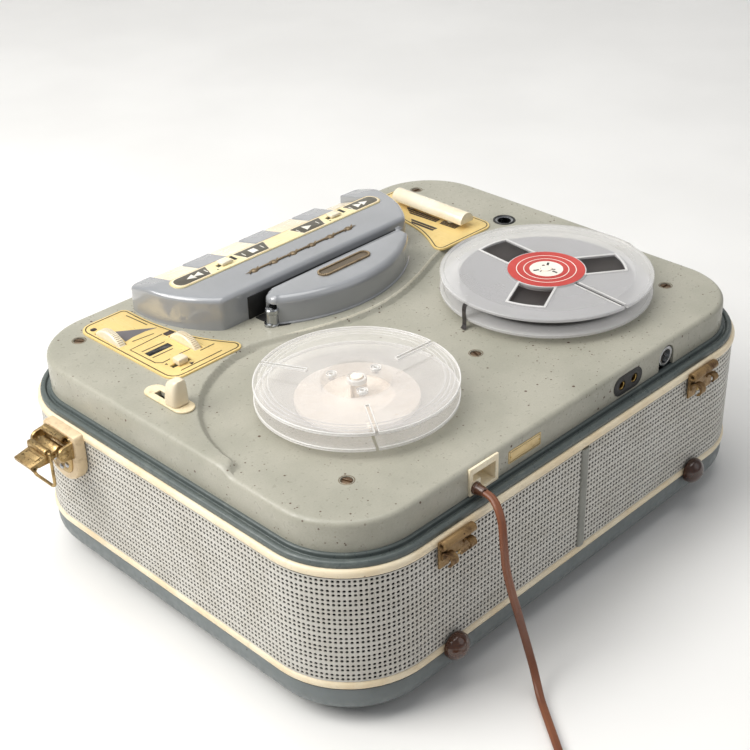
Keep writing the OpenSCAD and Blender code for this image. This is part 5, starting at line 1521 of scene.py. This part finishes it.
def flat_shape(corners, z, radii=None, thick=PRINT):
    points = fillet(corners, radii or [0.0] * len(corners), 4)
    turn = sum(a.x * b.y - b.x * a.y for a, b in zip(points, points[1:] + points[:1]))
    return slab(points if turn > 0 else points[::-1], z - 0.02, z + thick, 0.03)


def flat_line(points, width, z, thick=PRINT):
    """A printed line along some points."""
    rings = []
    for i, p in enumerate(points):
        way = (Vector(points[min(i + 1, len(points) - 1)]) - Vector(points[max(i - 1, 0)])).normalized()
        off = Vector((-way.y, way.x)) * width / 2
        a, b = Vector(p) + off, Vector(p) - off
        rings.append([(a.x, a.y, z - 0.02), (a.x, a.y, z + thick), (b.x, b.y, z + thick),
                      (b.x, b.y, z - 0.02)])
    return loft(rings, caps=True)


def label_plate(x0, x1, grow, z, thick):
    """A plate with slanted inner ends and round outer ends."""
    y0, y1 = STRIP_Y - 5.4 - grow, STRIP_Y + 5.4 + grow
    outer_right, outer_left = x0 > 60, x1 < -60
    a, b = x0 + grow, x1 - grow
    corners = [(b, y0), (a, y0), (a - (0 if outer_right else 4), y1), (b + (0 if outer_left else 4), y1)]
    left, right = (5 if outer else 0.6 for outer in (outer_left, outer_right))
    return flat_shape(corners, z, [left, right, right, left], thick)


strip = fillet(rect(*STRIP_ENDS, STRIP_Y - STRIP_HALF, STRIP_Y + STRIP_HALF), [6] * 4, 6)
strip_slots = [block(x, STRIP_Y, *BUTTON_SLOT, HOUSING_TOP - 2, Z_STRIP + 2) for x in BUTTONS]
cut_piece("strip_plate", slab(strip, HOUSING_TOP - 0.1, Z_STRIP, 0.25), strip_slots, STRIP_GOLD,
          slot="gold_plate", stands_for=("label_strip",))
borders = [label_plate(x0, x1, 1.2, Z_STRIP, 0.15) for x0, x1 in LABELS]
piece_of("label_borders", together(*borders), FRAME_CREAM, slot="gold_plate")
fields = [label_plate(x0, x1, 0.2, Z_STRIP + 0.15, 0.1) for x0, x1 in LABELS]
piece_of("label_fields", together(*fields), DARK_PLATE, slot="gold_plate")


def pointer(x, y, size, way):
    """A triangle that points along X."""
    return [(x - way * size / 2, y - size / 2), (x + way * size / 2, y), (x - way * size / 2, y + size / 2)]


Z_SIGN = Z_STRIP + 0.25
WIND, START, STOP = 6.5, 7, 5.6
signs = [flat_shape(pointer(x, STRIP_Y, size, way), Z_SIGN) for x, size, way in
         ((81, WIND, 1), (87, WIND, 1), (-21.5, START, -1), (-73, WIND, -1), (-79, WIND, -1))]
signs.append(flat_shape(rect(28, 28 + STOP, STRIP_Y - STOP / 2, STRIP_Y + STOP / 2), Z_SIGN))
ticks = [flat_line([(x, STRIP_Y - 2.2), (x, STRIP_Y + 2.2)], 0.7, Z_SIGN)
         for x in (73.5, 39.5, 22.5, -12, -31, -65)]
piece_of("label_signs", together(*signs, *ticks), WHITE_PRINT, slot="gold_plate")
slots = [flat_shape(rect(x - 1.3, x + 1.3, STRIP_Y - 5.4, STRIP_Y + 1.6), Z_STRIP, [0.5] * 4)
         for x in (47.6, -57.2)]
slots += [flat_shape(pointer(x, STRIP_Y + dy, 1.8, way), Z_STRIP)
          for x, dy, way in ((66.6, 4.2, 1), (-40.2, 4.2, -1))]
piece_of("strip_slots", together(*slots), BLACK_PRINT, slot="gold_plate")
piece_of("strip_edge", ribbon(strip, 0.3, 0.6, Z_STRIP - 0.05, Z_STRIP + 0.06), LABEL_GOLD, slot="gold_plate")
for node in ("strip_button_a", "strip_button_b"):
    soft_piece(node, KEY_CREAM, 1.0, 3, "cream_key")
print("labels:", len(LABELS))

# %% [markdown]
# The bronze trim on the housing's back edge is a twisted rope with six knots and pointed ends. The rope is
# a loft whose section turns as it goes along, so its strands stand out; the knots are copies of one small
# leaf-like piece. An oval plate with a beaded rim, its field bare, sits on the head cover.

# %% Bronze trim
ROPE_Y = -83.5
ROPE_HALF = 53
KNOT_PITCH = 18


def rope(x0, x1, y, z, r, turns, steps=150):
    rings = []
    for i in range(steps + 1):
        t = i / steps
        ends = min(1, 6 * t, 6 * (1 - t))
        size = max(0.05, r * ends ** 0.5)
        lean = 2 * math.pi * turns * t
        ring = []
        for k in range(12):
            a = 2 * math.pi * k / 12
            lobe = 1 + 0.28 * math.cos(2 * (a - lean))
            ring.append((x0 + (x1 - x0) * t, y + size * lobe * math.cos(a),
                         z + 0.8 * size * lobe * math.sin(a)))
        rings.append(ring)
    return loft(rings, caps=True)


def knot():
    """A bud with two leaves, along X."""
    bud = mapped(dome(2.6, 1.5, 14), lambda u, v, w: (1.2 * u, v, w))
    leaves = []
    for way in (-1, 1):
        leaf = [(way * 2.0, way * 0.4), (way * 6.2, way * 2.6), (way * 2.6, -way * 1.8)]
        leaves.append(flat_shape(leaf, 0.25, [0.4, 0.2, 0.4], 0.9))
    return together(bud, *leaves)


piece_of("rope_trim", rope(KEYS_X - ROPE_HALF, KEYS_X + ROPE_HALF, ROPE_Y, HOUSING_TOP + 0.55, 0.8, 22),
         TRIM_BRONZE, slot="aged_brass", stands_for=("bronze_trim",))
knots = [((KEYS_X + (k - 2.5) * KNOT_PITCH, ROPE_Y, HOUSING_TOP), (0, 0, 0)) for k in range(6)]
copies("rope_knots", knot(), knots, TRIM_BRONZE, slot="aged_brass")
OVAL_AT = Vector((-2.5, -49.5))
OVAL_HALF = Vector((23.5, 4.75))


def oval(grow, straight=22, bow=12):
    """A long plate with round ends."""
    run, r = OVAL_HALF.x - OVAL_HALF.y, OVAL_HALF.y + grow
    right, left = OVAL_AT + Vector((run, 0)), OVAL_AT - Vector((run, 0))
    ends = arc(right, r, -90, 90, bow), arc(left, r, 90, 270, bow)
    out = []
    for k, end in enumerate(ends):
        following = ends[1 - k][0]
        out += end + [end[-1] + (following - end[-1]) * i / straight for i in range(1, straight)]
    return out


piece_of("oval_field", slab(oval(-0.8), HEAD_TOP - 0.1, HEAD_TOP + 0.5, 0.2), OVAL_DARK, slot="aged_brass")
rim = [at_height(oval(g), z) for g, z in ((0, HEAD_TOP - 0.1), (0, HEAD_TOP + 0.9), (-0.3, HEAD_TOP + 1.2),
                                          (-0.9, HEAD_TOP + 1.2), (-1.2, HEAD_TOP + 0.9),
                                          (-1.2, HEAD_TOP - 0.1))]
piece_of("oval_rim", loft(rim, along_closed=True), TRIM_BRONZE, slot="aged_brass")
beads = [((p.x, p.y, HEAD_TOP + 0.8), (0, 0, 0)) for p in oval(-0.6, 20, 9)]
copies("oval_beads", dome(0.95, 0.9, 8), beads, TRIM_BRONZE, slot="aged_brass")
print("rope knots:", len(knots), "beads:", len(beads))

# %% [markdown]
# A gilt control plate lies on each side of the keys. The prints on it are thin flat shapes: a border line,
# a wedge that grows with the volume, frames round the controls and small pointers. The words of the real
# plate are left out.

# %% Control plates
Z_PLATE = 145.2
PLATE_MID = 3
PLATE_R = 10
INNER_EDGE = [(119.6, -135), (119.3, -116), (116.8, -97), (112.8, -78), (106.8, -63.5), (99, -50)]


def plate_outline():
    """The right plate: its inner edge bends round the end of the housing."""
    inner = smooth_line(INNER_EDGE, 4)
    ends = [(119.8, -141), (159.5, -141), (157.6, -39.8), (94, -40.2)]
    corners = ends + [tuple(p) for p in reversed(inner)]
    return fillet(corners, [5, PLATE_R, PLATE_R, 6] + [0] * len(inner), 8)


def plate_cuts():
    heights = Z_FRONT - CUT_UP, Z_PLATE + CUT_UP
    return ([block(*slot, *heights) for slot in CONTROL_SLOTS]
            + [post(p, STEM_HOLE_R, *heights, 20) for p in PAUSE_STEMS])


right_plate = [Vector(p) for p in plate_outline()]
left_plate = [Vector((2 * PLATE_MID - p.x, p.y)) for p in reversed(right_plate)]
plates = [slab(o, Z_FRONT - 0.3, Z_PLATE, 0.3) for o in (right_plate, left_plate)]
cut_piece("gilt_plates", together(*plates), plate_cuts(), PLATE_GOLD, slot="gold_plate",
          stands_for=("gold_plates",))
edges = [ribbon(o, 1.5, 2.3, Z_PLATE - 0.02, Z_PLATE + PRINT) for o in (right_plate, left_plate)]
piece_of("plate_borders", together(*edges), DARK_PRINT, slot="gold_plate")
wedge = flat_shape([(143.8, -118.9), (121.4, -102.4), (130.5, -104.3), (140.5, -104.2),
                    (147.4, -102.6)], Z_PLATE)
piece_of("volume_wedge", wedge, GREY_PRINT, slot="gold_plate")
lines = [flat_line(p, 0.8, Z_PLATE) for p in (
    [(125.1, -131.8), (123.6, -110.7)],
    [(124.8, -92.8), (152.0, -91.5), (151.2, -66.0), (147.8, -62.6), (141.5, -63.0)],
    [(133.4, -63.6), (124.8, -63.4)], [(121.6, -56.8), (109.8, -57.0)], [(144.3, -99.5), (128.0, -97.6)],
    [(148.5, -83.8), (130.0, -83.4)], [(148.5, -72.4), (132.0, -72.2)], [(146, -46.2), (112, -46.6)])]
piece_of("plate_lines", together(*lines), DARK_PRINT, slot="gold_plate")


def bars(corners, count, share):
    """Stripes across a four-sided field, each a share of its pitch."""
    a, b, c, d = (Vector(p) for p in corners)
    out = []
    for k in range(count):
        t0, t1 = k / count, (k + share) / count
        out.append(flat_shape([a.lerp(d, t0), b.lerp(c, t0), b.lerp(c, t1), a.lerp(d, t1)], Z_PLATE))
    return out


marks = [flat_shape([(133.2, -48.4), (136.6, -49.9), (136.6, -46.9)], Z_PLATE),
         flat_shape([(146.8, -60.4), (148.6, -59.6), (147.0, -58.0)], Z_PLATE),
         flat_shape(rect(149.8, 154.2, -134, -130), Z_PLATE, [1.5] * 4),
         flat_shape(rect(117.6, 124.4, -93, -88.4), Z_PLATE, [1] * 4)]
marks += bars([(-130.6, -112), (-130.8, -76.6), (-124.4, -76.0), (-122.9, -101.1)], 3, 0.82)
marks += bars([(-117.0, -94.2), (-117.6, -67.6), (-111.2, -67.6), (-111.2, -88.5)], 2, 0.8)
marks += bars([(-131.2, -73.1), (-132.4, -57.4), (-125.1, -57.2), (-124.5, -72.1)], 4, 0.78)
piece_of("plate_marks", together(*marks), PLUM_PRINT, slot="gold_plate")
print("marks:", len(marks))

# %% [markdown]
# Two ribbed thumbwheels stand half out of the right plate, with a lever between them; the window of the
# level indicator is smoked glass. The ribs repeat round the rim, so the tree sets them, a few faces each.

# %% Thumbwheels and knobs
WHEELS = {"volume_wheel": CONTROL_SLOTS[0][:2], "tone_wheel": CONTROL_SLOTS[1][:2]}
WHEEL_Z = 133.7
WHEEL_R = 18
WHEEL_HALF = 3
RIB_FOOT = WHEEL_R - 0.5
RIBS = 72


def wheel(x, y):
    half = fillet(rect(3, RIB_FOOT, -WHEEL_HALF, WHEEL_HALF), [0, 1.2, 1.2, 0], 5)
    return mapped(revolve(half, Vector((0, 0)), 96), lambda u, v, w: (x + w, y + u, WHEEL_Z + v))


rib = slab(fillet(rect(-2.1, 2.1, -0.32, 0.32), [0.25] * 4, 2), -0.2, 0.5, 0.2)
for node, (x, y) in WHEELS.items():
    piece_of(node + "_rim", wheel(x, y), KEY_CREAM, body=node, slot="cream_key", stands_for=(node,))
    spots = []
    for k in range(RIBS):
        a = 2 * math.pi * k / RIBS
        foot = (x, y + RIB_FOOT * math.sin(a), WHEEL_Z + RIB_FOOT * math.cos(a))
        spots.append((foot, (-math.degrees(a), 0, 0)))
    copies(node + "_ribs", rib, spots, KEY_CREAM, body=node, slot="cream_key")
soft_piece("mode_knob", KEY_CREAM, 1.6, 4, "cream_key")
soft_piece("level_indicator", WINDOW_GLASS, 0.3, 2, "dark_window")
soft_piece("pause_bar", KEY_CREAM, 1.4, 4, "cream_key")
soft_piece("switch_plate", SWITCH_CREAM, 0.5, 3, "cream_key")
print("ribs:", RIBS * len(WHEELS))

# %% [markdown]
# The switch on the right is a tall tapered knob with a rounded top, on a stadium plate that has rusted at
# one end.

# %% Switch knob
knob_low, knob_high = span("switch_knob")


def tall_knob(x, y, z0, z1, half):
    """A knob that narrows upwards and leans back, with a domed top."""
    rings = []
    rise = z1 - z0
    for share, z in ((1.0, z0), (1.0, z0 + 0.08 * rise), (0.96, z0 + 0.3 * rise), (0.9, z0 + 0.6 * rise),
                     (0.82, z0 + 0.8 * rise), (0.7, z1 - 1.8), (0.56, z1 - 0.7),
                     (0.36, z1 - 0.15), (0.02, z1)):
        w = half * share
        lean = 0.9 * (half - w)
        rings.append([(p.x + x, p.y + y + lean, z)
                      for p in fillet(rect(-w, w, -w, w), [0.62 * w] * 4, 5)])
    return loft(rings, caps=True)


knob_mid = (knob_low + knob_high) / 2
stem_top = Z_PLATE + 0.8
knob = tall_knob(knob_mid.x, knob_mid.y, stem_top, knob_high.z, 6.3)
stem = block(knob_mid.x, knob_mid.y, 3, 6, knob_low.z, stem_top + 0.5)
piece_of("switch_knob_cap", together(knob, stem), KEY_CREAM, body="switch_knob", slot="cream_key",
         stands_for=("switch_knob",))
print("switch knob: %.1f mm high" % (knob_high.z - stem_top))

# %% [markdown]
# On the back are the sunken inlet for the mains lead, a socket with two holes and a round socket in a notch,
# and a small gilt plate, left bare. The socket block, the rim round it and the round socket's core are dark,
# partly as painted shade, so the openings read as deep.

# %% Rear openings
BACK = cover_high.y
REAR_PLATE = (34, 64, 124.8, 133.6)


def on_back(shape, out=0, x=0, z=0):
    """A shape drawn flat, set on the back wall about (x, z)."""
    return mapped(shape, lambda u, v, w: (x + u, BACK + out + w, z + v))


soft_piece("inlet_frame", FRAME_CREAM, 0.6, 3, "cream_key")
soft_piece("socket_block", BLACK_PLASTIC_AND_SHADE, 0.4, 2, "black_plastic")
soft_piece("round_socket", GUIDE_CHROME, 0.3, 2, "works_steel")
sleeves = []
for dx in (-6.5, 6.5):
    ring = revolve([(2.4, -2.5), (2.4, 0.2), (2.7, 0.45), (3.1, 0.2), (3.1, -2.5)], Vector((0, 0)), 28)
    sleeves.append(on_back(ring, -0.6, SOCKET_AT.x + dx, SOCKET_AT.y))
piece_of("socket_sleeves", together(*sleeves), PULLEY_BRASS, slot="pulley_brass")
frame_edge = on_back(ribbon(stadium(SOCKET_AT, SOCKET_RUN, SOCKET_R + 0.9), 0, 1.1, 0, 0.5), -0.1)
piece_of("socket_rim", frame_edge, BLACK_PLASTIC_AND_SHADE, slot="black_plastic")
# A dark core deep in the round socket; its dark colour is partly painted shade.
core = revolve([(1.0, -9), (1.0, -5), (3.4, -5), (3.4, -9)], Vector((0, 0)), 28)
core = on_back(core, 0, ROUND_AT.x, ROUND_AT.y)
piece_of("round_core", core, PLUG_BROWN, slot="black_plastic")
label = fillet(rect(*REAR_PLATE), [0.8] * 4, 3)
piece_of("rear_plate", on_back(slab(label, 0, 0.5, 0.2), -0.05), LABEL_GOLD, slot="gold_plate")
edge_line = on_back(ribbon(label, 0.9, 1.2, 0.4, 0.55), -0.05)
piece_of("rear_plate_line", edge_line, DARK_PRINT, slot="gold_plate")
pins = [((x, BACK + 0.4, 129.2), (-90, 0, 0)) for x in (35.8, 62.2)]
copies("rear_plate_pins", dome(0.7, 0.35, 10), pins, PULLEY_BRASS, slot="gold_plate")
print("rear plate: %.0f x %.1f mm" % (REAR_PLATE[1] - REAR_PLATE[0], REAR_PLATE[3] - REAR_PLATE[2]))

# %% [markdown]
# The tape path: heads and guides on their base under the cover, and one bright guide roller that stands in
# the open at the cover's right end.

# %% Guide roller
ROLLER_AT = Vector((65.2, -49.4))
soft_piece("head_block", GUIDE_CHROME, 0.4, 2, "works_steel")
roller = [(2.6, Z_FRONT), (4.6, Z_FRONT), (4.6, Z_FRONT + 1), (3.9, Z_FRONT + 1.6), (3.9, Z_FRONT + 9),
          (4.8, Z_FRONT + 9.8), (4.8, Z_FRONT + 12), (4.2, Z_FRONT + 12.8), (2.6, Z_FRONT + 12.8)]
piece_of("guide_roller", revolve(roller, ROLLER_AT, 48), GUIDE_CHROME, slot="works_steel")
print("guide roller at", tuple(ROLLER_AT))

# %% [markdown]
# The clear take-up reel is one turned profile: two thin flanges with thickened rims, moulded rings and a
# closed hub. A Boolean cuts the spindle's splines, the threading slits and the hub's three holes. Rims and
# pegs are drawn once more in a denser white finish, as a painted highlight for the light that the edges of
# clear resin catch.

# %% Reels: cutters
Z_REEL = 145
SPINDLE_R = 4.05
SPLINE_IN, SPLINE_OUT, SPLINE_W = 2, 6.3, 1.9


def spoke(centre, turn, r0, r1, width, z0, z1):
    """A straight bar along a radius, to cut with."""
    along = polar(math.radians(turn))
    across = Vector((-along.y, along.x)) * width / 2
    corners = [centre + along * r0 - across, centre + along * r1 - across, centre + along * r1 + across,
               centre + along * r0 + across]
    return prism(corners, z0, z1)


def spline_cuts(centre):
    return [spoke(centre, turn, SPLINE_IN, SPLINE_OUT, SPLINE_W, Z_REEL - 1, Z_REEL + 16)
            for turn in (0, 120, 240)]


def moulded_rings(radii, z, rise, width=0.9):
    """Points of a flat top with small raised rings, from the rim inwards."""
    out = []
    for r in radii:
        out += [(r + width, z), (r + 0.6 * width, z + rise), (r - 0.6 * width, z + rise), (r - width, z)]
    return out


# %% Clear reel
TAKEUP_R = 63.5
TAKEUP_TOP = Z_REEL + 12.8
FLANGE = 1.3
HUB_R = 22


def clear_profile():
    r, top, low = TAKEUP_R, TAKEUP_TOP, Z_REEL
    under = [(SPINDLE_R, low + 0.2), (20.4, low + 0.2)]
    lower = [(60.5, low + 0.1), (61.6, low), (r - 0.4, low), (r, low + 0.4), (r, low + 1.7),
             (r - 0.5, low + 2.1), (61.2, low + 2.1), (60.6, low + FLANGE), (HUB_R, low + FLANGE)]
    upper = [(HUB_R, top - FLANGE - 0.3), (60.6, top - FLANGE - 0.3), (61.2, top - 2.1),
             (r - 0.5, top - 2.1), (r, top - 1.7), (r, top - 0.4), (r - 0.4, top),
             (61.6, top), (61, top - 0.3)]
    face = moulded_rings((58.5, 55.5), top - 0.3, 0.2)
    boss = [(25.5, top - 0.3), (24.6, top), (22.4, top), (21.6, top - 0.3), (12.5, top - 0.3),
            (11.8, top), (SPINDLE_R, top)]
    return under + lower + upper + face + boss


SLIT_TURNS = (56, 176, 296)
PEG_TURNS = (58, 178, 298)
PEG_CIRCLE = 16
hub_spots = [PEG_CIRCLE * polar(math.radians(turn)) for turn in PEG_TURNS]
slits = [spoke(TAKEUP_AT, turn, 33, 70, 2.0, Z_REEL - 1, TAKEUP_TOP + 1) for turn in SLIT_TURNS]
lips = [spoke(TAKEUP_AT, turn, 32.5, 62.6, 3.2, TAKEUP_TOP - 1.4, TAKEUP_TOP - 0.1) for turn in SLIT_TURNS]
holes = [post(TAKEUP_AT + p, 2.1, TAKEUP_TOP - 4, TAKEUP_TOP + 1, 20) for p in hub_spots]
riding = {"body": "takeup_reel", "slot": "clear_reel"}
cut_piece("clear_reel", revolve(clear_profile(), TAKEUP_AT, 128), slits + holes + spline_cuts(TAKEUP_AT),
          CLEAR_RESIN, stands_for=("takeup_reel",), sharp=25, **riding)


def turned(r0, r1, z0, z1, edge=0.15):
    """A thin ring about the clear reel's axis."""
    return revolve([(r0, z0), (r1, z0), (r1, z1 - edge), (r1 - edge, z1), (r0 + edge, z1),
                    (r0, z1 - edge)], TAKEUP_AT, 96)


# Thin rings over the flange rims and on the pegs, only to whiten them: painted highlights.
rim_highlights = [turned(62.7, TAKEUP_R, z, z + 0.6) for z in (Z_REEL + 0.1, Z_REEL + 1.5,
                                                     TAKEUP_TOP - 2, TAKEUP_TOP - 0.6)]
peg_highlights = [together(*(mapped(turned(r0, r1, TAKEUP_TOP - 1.6, TAKEUP_TOP, 0.3),
                          lambda u, v, w: (u + p.x, v + p.y, w)) for r0, r1 in ((1.2, 2.2), (3.2, 3.5))))
        for p in hub_spots]
collar = turned(4.4, 6.2, TAKEUP_TOP - 3, TAKEUP_TOP, 0.5)
cut_piece("clear_rims", together(*lips, *rim_highlights), slits, CLEAR_EDGE_HIGHLIGHT, **riding)
piece_of("clear_pegs", together(collar, *peg_highlights), CLEAR_EDGE_HIGHLIGHT, **riding)
ridges = [turned(r - 0.45, r + 0.45, TAKEUP_TOP - 0.2, TAKEUP_TOP, 0.1) for r in (59.8, 57, 54)]
piece_of("clear_ridges", together(*ridges), CLEAR_RIDGE, **riding)
for node in ("turntable_supply", "turntable_takeup"):
    soft_piece(node, PLATTER_PEACH, 0.6, 3, "cream_key")
print("clear reel: %.0f mm across" % (2 * TAKEUP_R))

# %% [markdown]
# The milky supply reel holds the tape. Its upper flange has three straight-sided windows with raised frames
# and one threading slit. A printed red disc with two thin white rings covers the hub.

# %% Milky reel
SUPPLY_R = 73.5
SUPPLY_TOP = Z_REEL + 14
SUPPLY_HUB = 26
WINDOW_TURNS = (24, 144, 264)
WINDOW_IN, WINDOW_OUT, WINDOW_W = 27.5, 54, 24
SLIT_TURN = 84
LABEL_R = 26.7


def milky_profile():
    r, top, low = SUPPLY_R, SUPPLY_TOP, Z_REEL
    under = [(SPINDLE_R, low), (70, low), (r - 0.5, low), (r, low + 0.5), (r, low + 1.9),
             (r - 0.6, low + 2.4), (71, low + 2.4), (70.2, low + 1.6), (SUPPLY_HUB, low + 1.6)]
    upper = [(SUPPLY_HUB, top - 1.6), (70.2, top - 1.6), (71, top - 2.4), (r - 0.6, top - 2.4),
             (r, top - 1.9), (r, top - 0.5), (r - 0.5, top), (70.8, top), (70.2, top - 0.5),
             (62.4, top - 0.5), (61.6, top - 0.3), (60.2, top - 0.3), (59.6, top - 0.5), (28.8, top - 0.5),
             (28.2, top - 0.1), (SPINDLE_R, top - 0.1)]
    return under + upper


def window_outline(turn, grow):
    """A window's outline: straight sides, arcs at the hub and at the rim."""
    inner, outer, half = WINDOW_IN - grow, WINDOW_OUT + grow, WINDOW_W / 2 + grow
    a0, a1 = (math.degrees(math.asin(half / r)) for r in (inner, outer))
    far = arc((0, 0), outer, -a1, a1, 12)
    near = arc((0, 0), inner, a0, -a0, 12)
    swing = Matrix.Rotation(math.radians(turn), 2)
    return [SUPPLY_AT + swing @ p for p in far + near]


def window_cut(turn):
    return prism(window_outline(turn, 0), SUPPLY_TOP - 3, SUPPLY_TOP + 1)


def window_frame(turn):
    wide, narrow = window_outline(turn, 1.7), window_outline(turn, 0.05)
    low, high = SUPPLY_TOP - 0.6, SUPPLY_TOP
    return loft([at_height(wide, low), at_height(wide, high - 0.2),
                 at_height(window_outline(turn, 1.4), high), at_height(window_outline(turn, 0.3), high),
                 at_height(narrow, high - 0.2), at_height(narrow, low)], along_closed=True)


cutters = [window_cut(t) for t in WINDOW_TURNS] + spline_cuts(SUPPLY_AT)
cutters.append(spoke(SUPPLY_AT, SLIT_TURN, WINDOW_IN, 80, 3, SUPPLY_TOP - 3, SUPPLY_TOP + 1))
riding = {"body": "supply_reel", "slot": "milky_reel"}
cut_piece("milky_reel", revolve(milky_profile(), SUPPLY_AT, 128), cutters, MILKY_RESIN,
          stands_for=("supply_reel",), sharp=25, **riding)
# The frames and the slit's lips are drawn in a denser white: painted highlights on the raised edges.
piece_of("window_frames", together(*(window_frame(t) for t in WINDOW_TURNS)), MILKY_EDGE_HIGHLIGHT, **riding)
across = 2.1 * polar(math.radians(SLIT_TURN + 90))
lips = [spoke(SUPPLY_AT + side * across, SLIT_TURN, 29, 70.5, 0.8, SUPPLY_TOP - 0.6, SUPPLY_TOP - 0.1)
        for side in (-1, 1)]
piece_of("slit_lips", together(*lips), MILKY_EDGE_HIGHLIGHT, **riding)
soft_piece("tape_pack", TAPE_BROWN, 0.3, 2, "tape")
print("milky reel: %.0f mm across" % (2 * SUPPLY_R))

# %% Reel label and the tape's end
def disc(r0, r1, z0, z1):
    return revolve([(r0, z0), (r1, z0), (r1, z1 - 0.02), (r1 - 0.02, z1), (r0, z1)], SUPPLY_AT, 72)


Z_LABEL = SUPPLY_TOP - 0.1
for name, r, z0, z1, ink in (("reel_label", LABEL_R, -0.02, 0.14, RED_PRINT),
                             ("label_centre", 11.6, 0.1, 0.22, WHITE_PRINT)):
    cut_piece(name, disc(SPINDLE_R, r, Z_LABEL + z0, Z_LABEL + z1), spline_cuts(SUPPLY_AT), ink, **riding)
rays = [spoke(SUPPLY_AT, 90 + 120 * k, 5.4, 9.4, 1.5, Z_LABEL + 0.15, Z_LABEL + 0.3) for k in range(3)]
piece_of("label_rays", together(*rays), BLACK_PRINT, **riding)
rings = [disc(r, r + 0.6, Z_LABEL + 0.1, Z_LABEL + 0.2) for r in (15.2, 20.2)]
piece_of("label_rings", together(*rings), WHITE_PRINT, **riding)


TAIL_TURN, TAIL_DRIFT, TAIL_HALF = -10.5, 0.17, 1.6
TAIL_T = 0.15


def tape_tail():
    """The loose end of the tape: out over the rim and down to the deck."""
    line = [(66, 155.6), (70, 155.4), (72.6, 154.4), (73.9, 151.5), (74.4, 147.5), (74.9, 144),
            (75.9, 141.6), (78, 140.7)]
    rings = []
    for k, p in enumerate(smooth_line([(r, 0, z) for r, z in line], 4)):
        a, b = (SUPPLY_AT + p.x * polar(math.radians(TAIL_TURN + TAIL_DRIFT * k + d))
                for d in (-TAIL_HALF, TAIL_HALF))
        rings.append([(q.x, q.y, p.z + up) for q, up in ((a, 0), (b, 0), (b, TAIL_T), (a, TAIL_T))])
    return loft(rings, caps=True)


piece_of("tape_tail", tape_tail(), TAPE_BROWN, body="supply_reel", slot="tape")
print("label: %.1f mm across" % (2 * LABEL_R))

# %% [markdown]
# The works inside the case are the CAD solids themselves. They keep their shapes and get the finishes of
# their materials.

# %% Works
WORKS = {"case_liner": PLYWOOD, "chassis_plate": WORKS_STEEL, "flywheel": WORKS_STEEL,
         "pinch_arm": WORKS_STEEL, "motor": CORE_IRON, "transformer": CORE_IRON, "loudspeaker": CORE_IRON,
         "motor_pulley": PULLEY_BRASS, "drive_belt": BLACK_RUBBER, "pinch_roller": BLACK_RUBBER,
         "amplifier": BOARD_BROWN}
for node, finish in WORKS.items():
    for slot in frame["nodes"][node].material_slots:
        slot.material = finish
print("works:", len(WORKS))
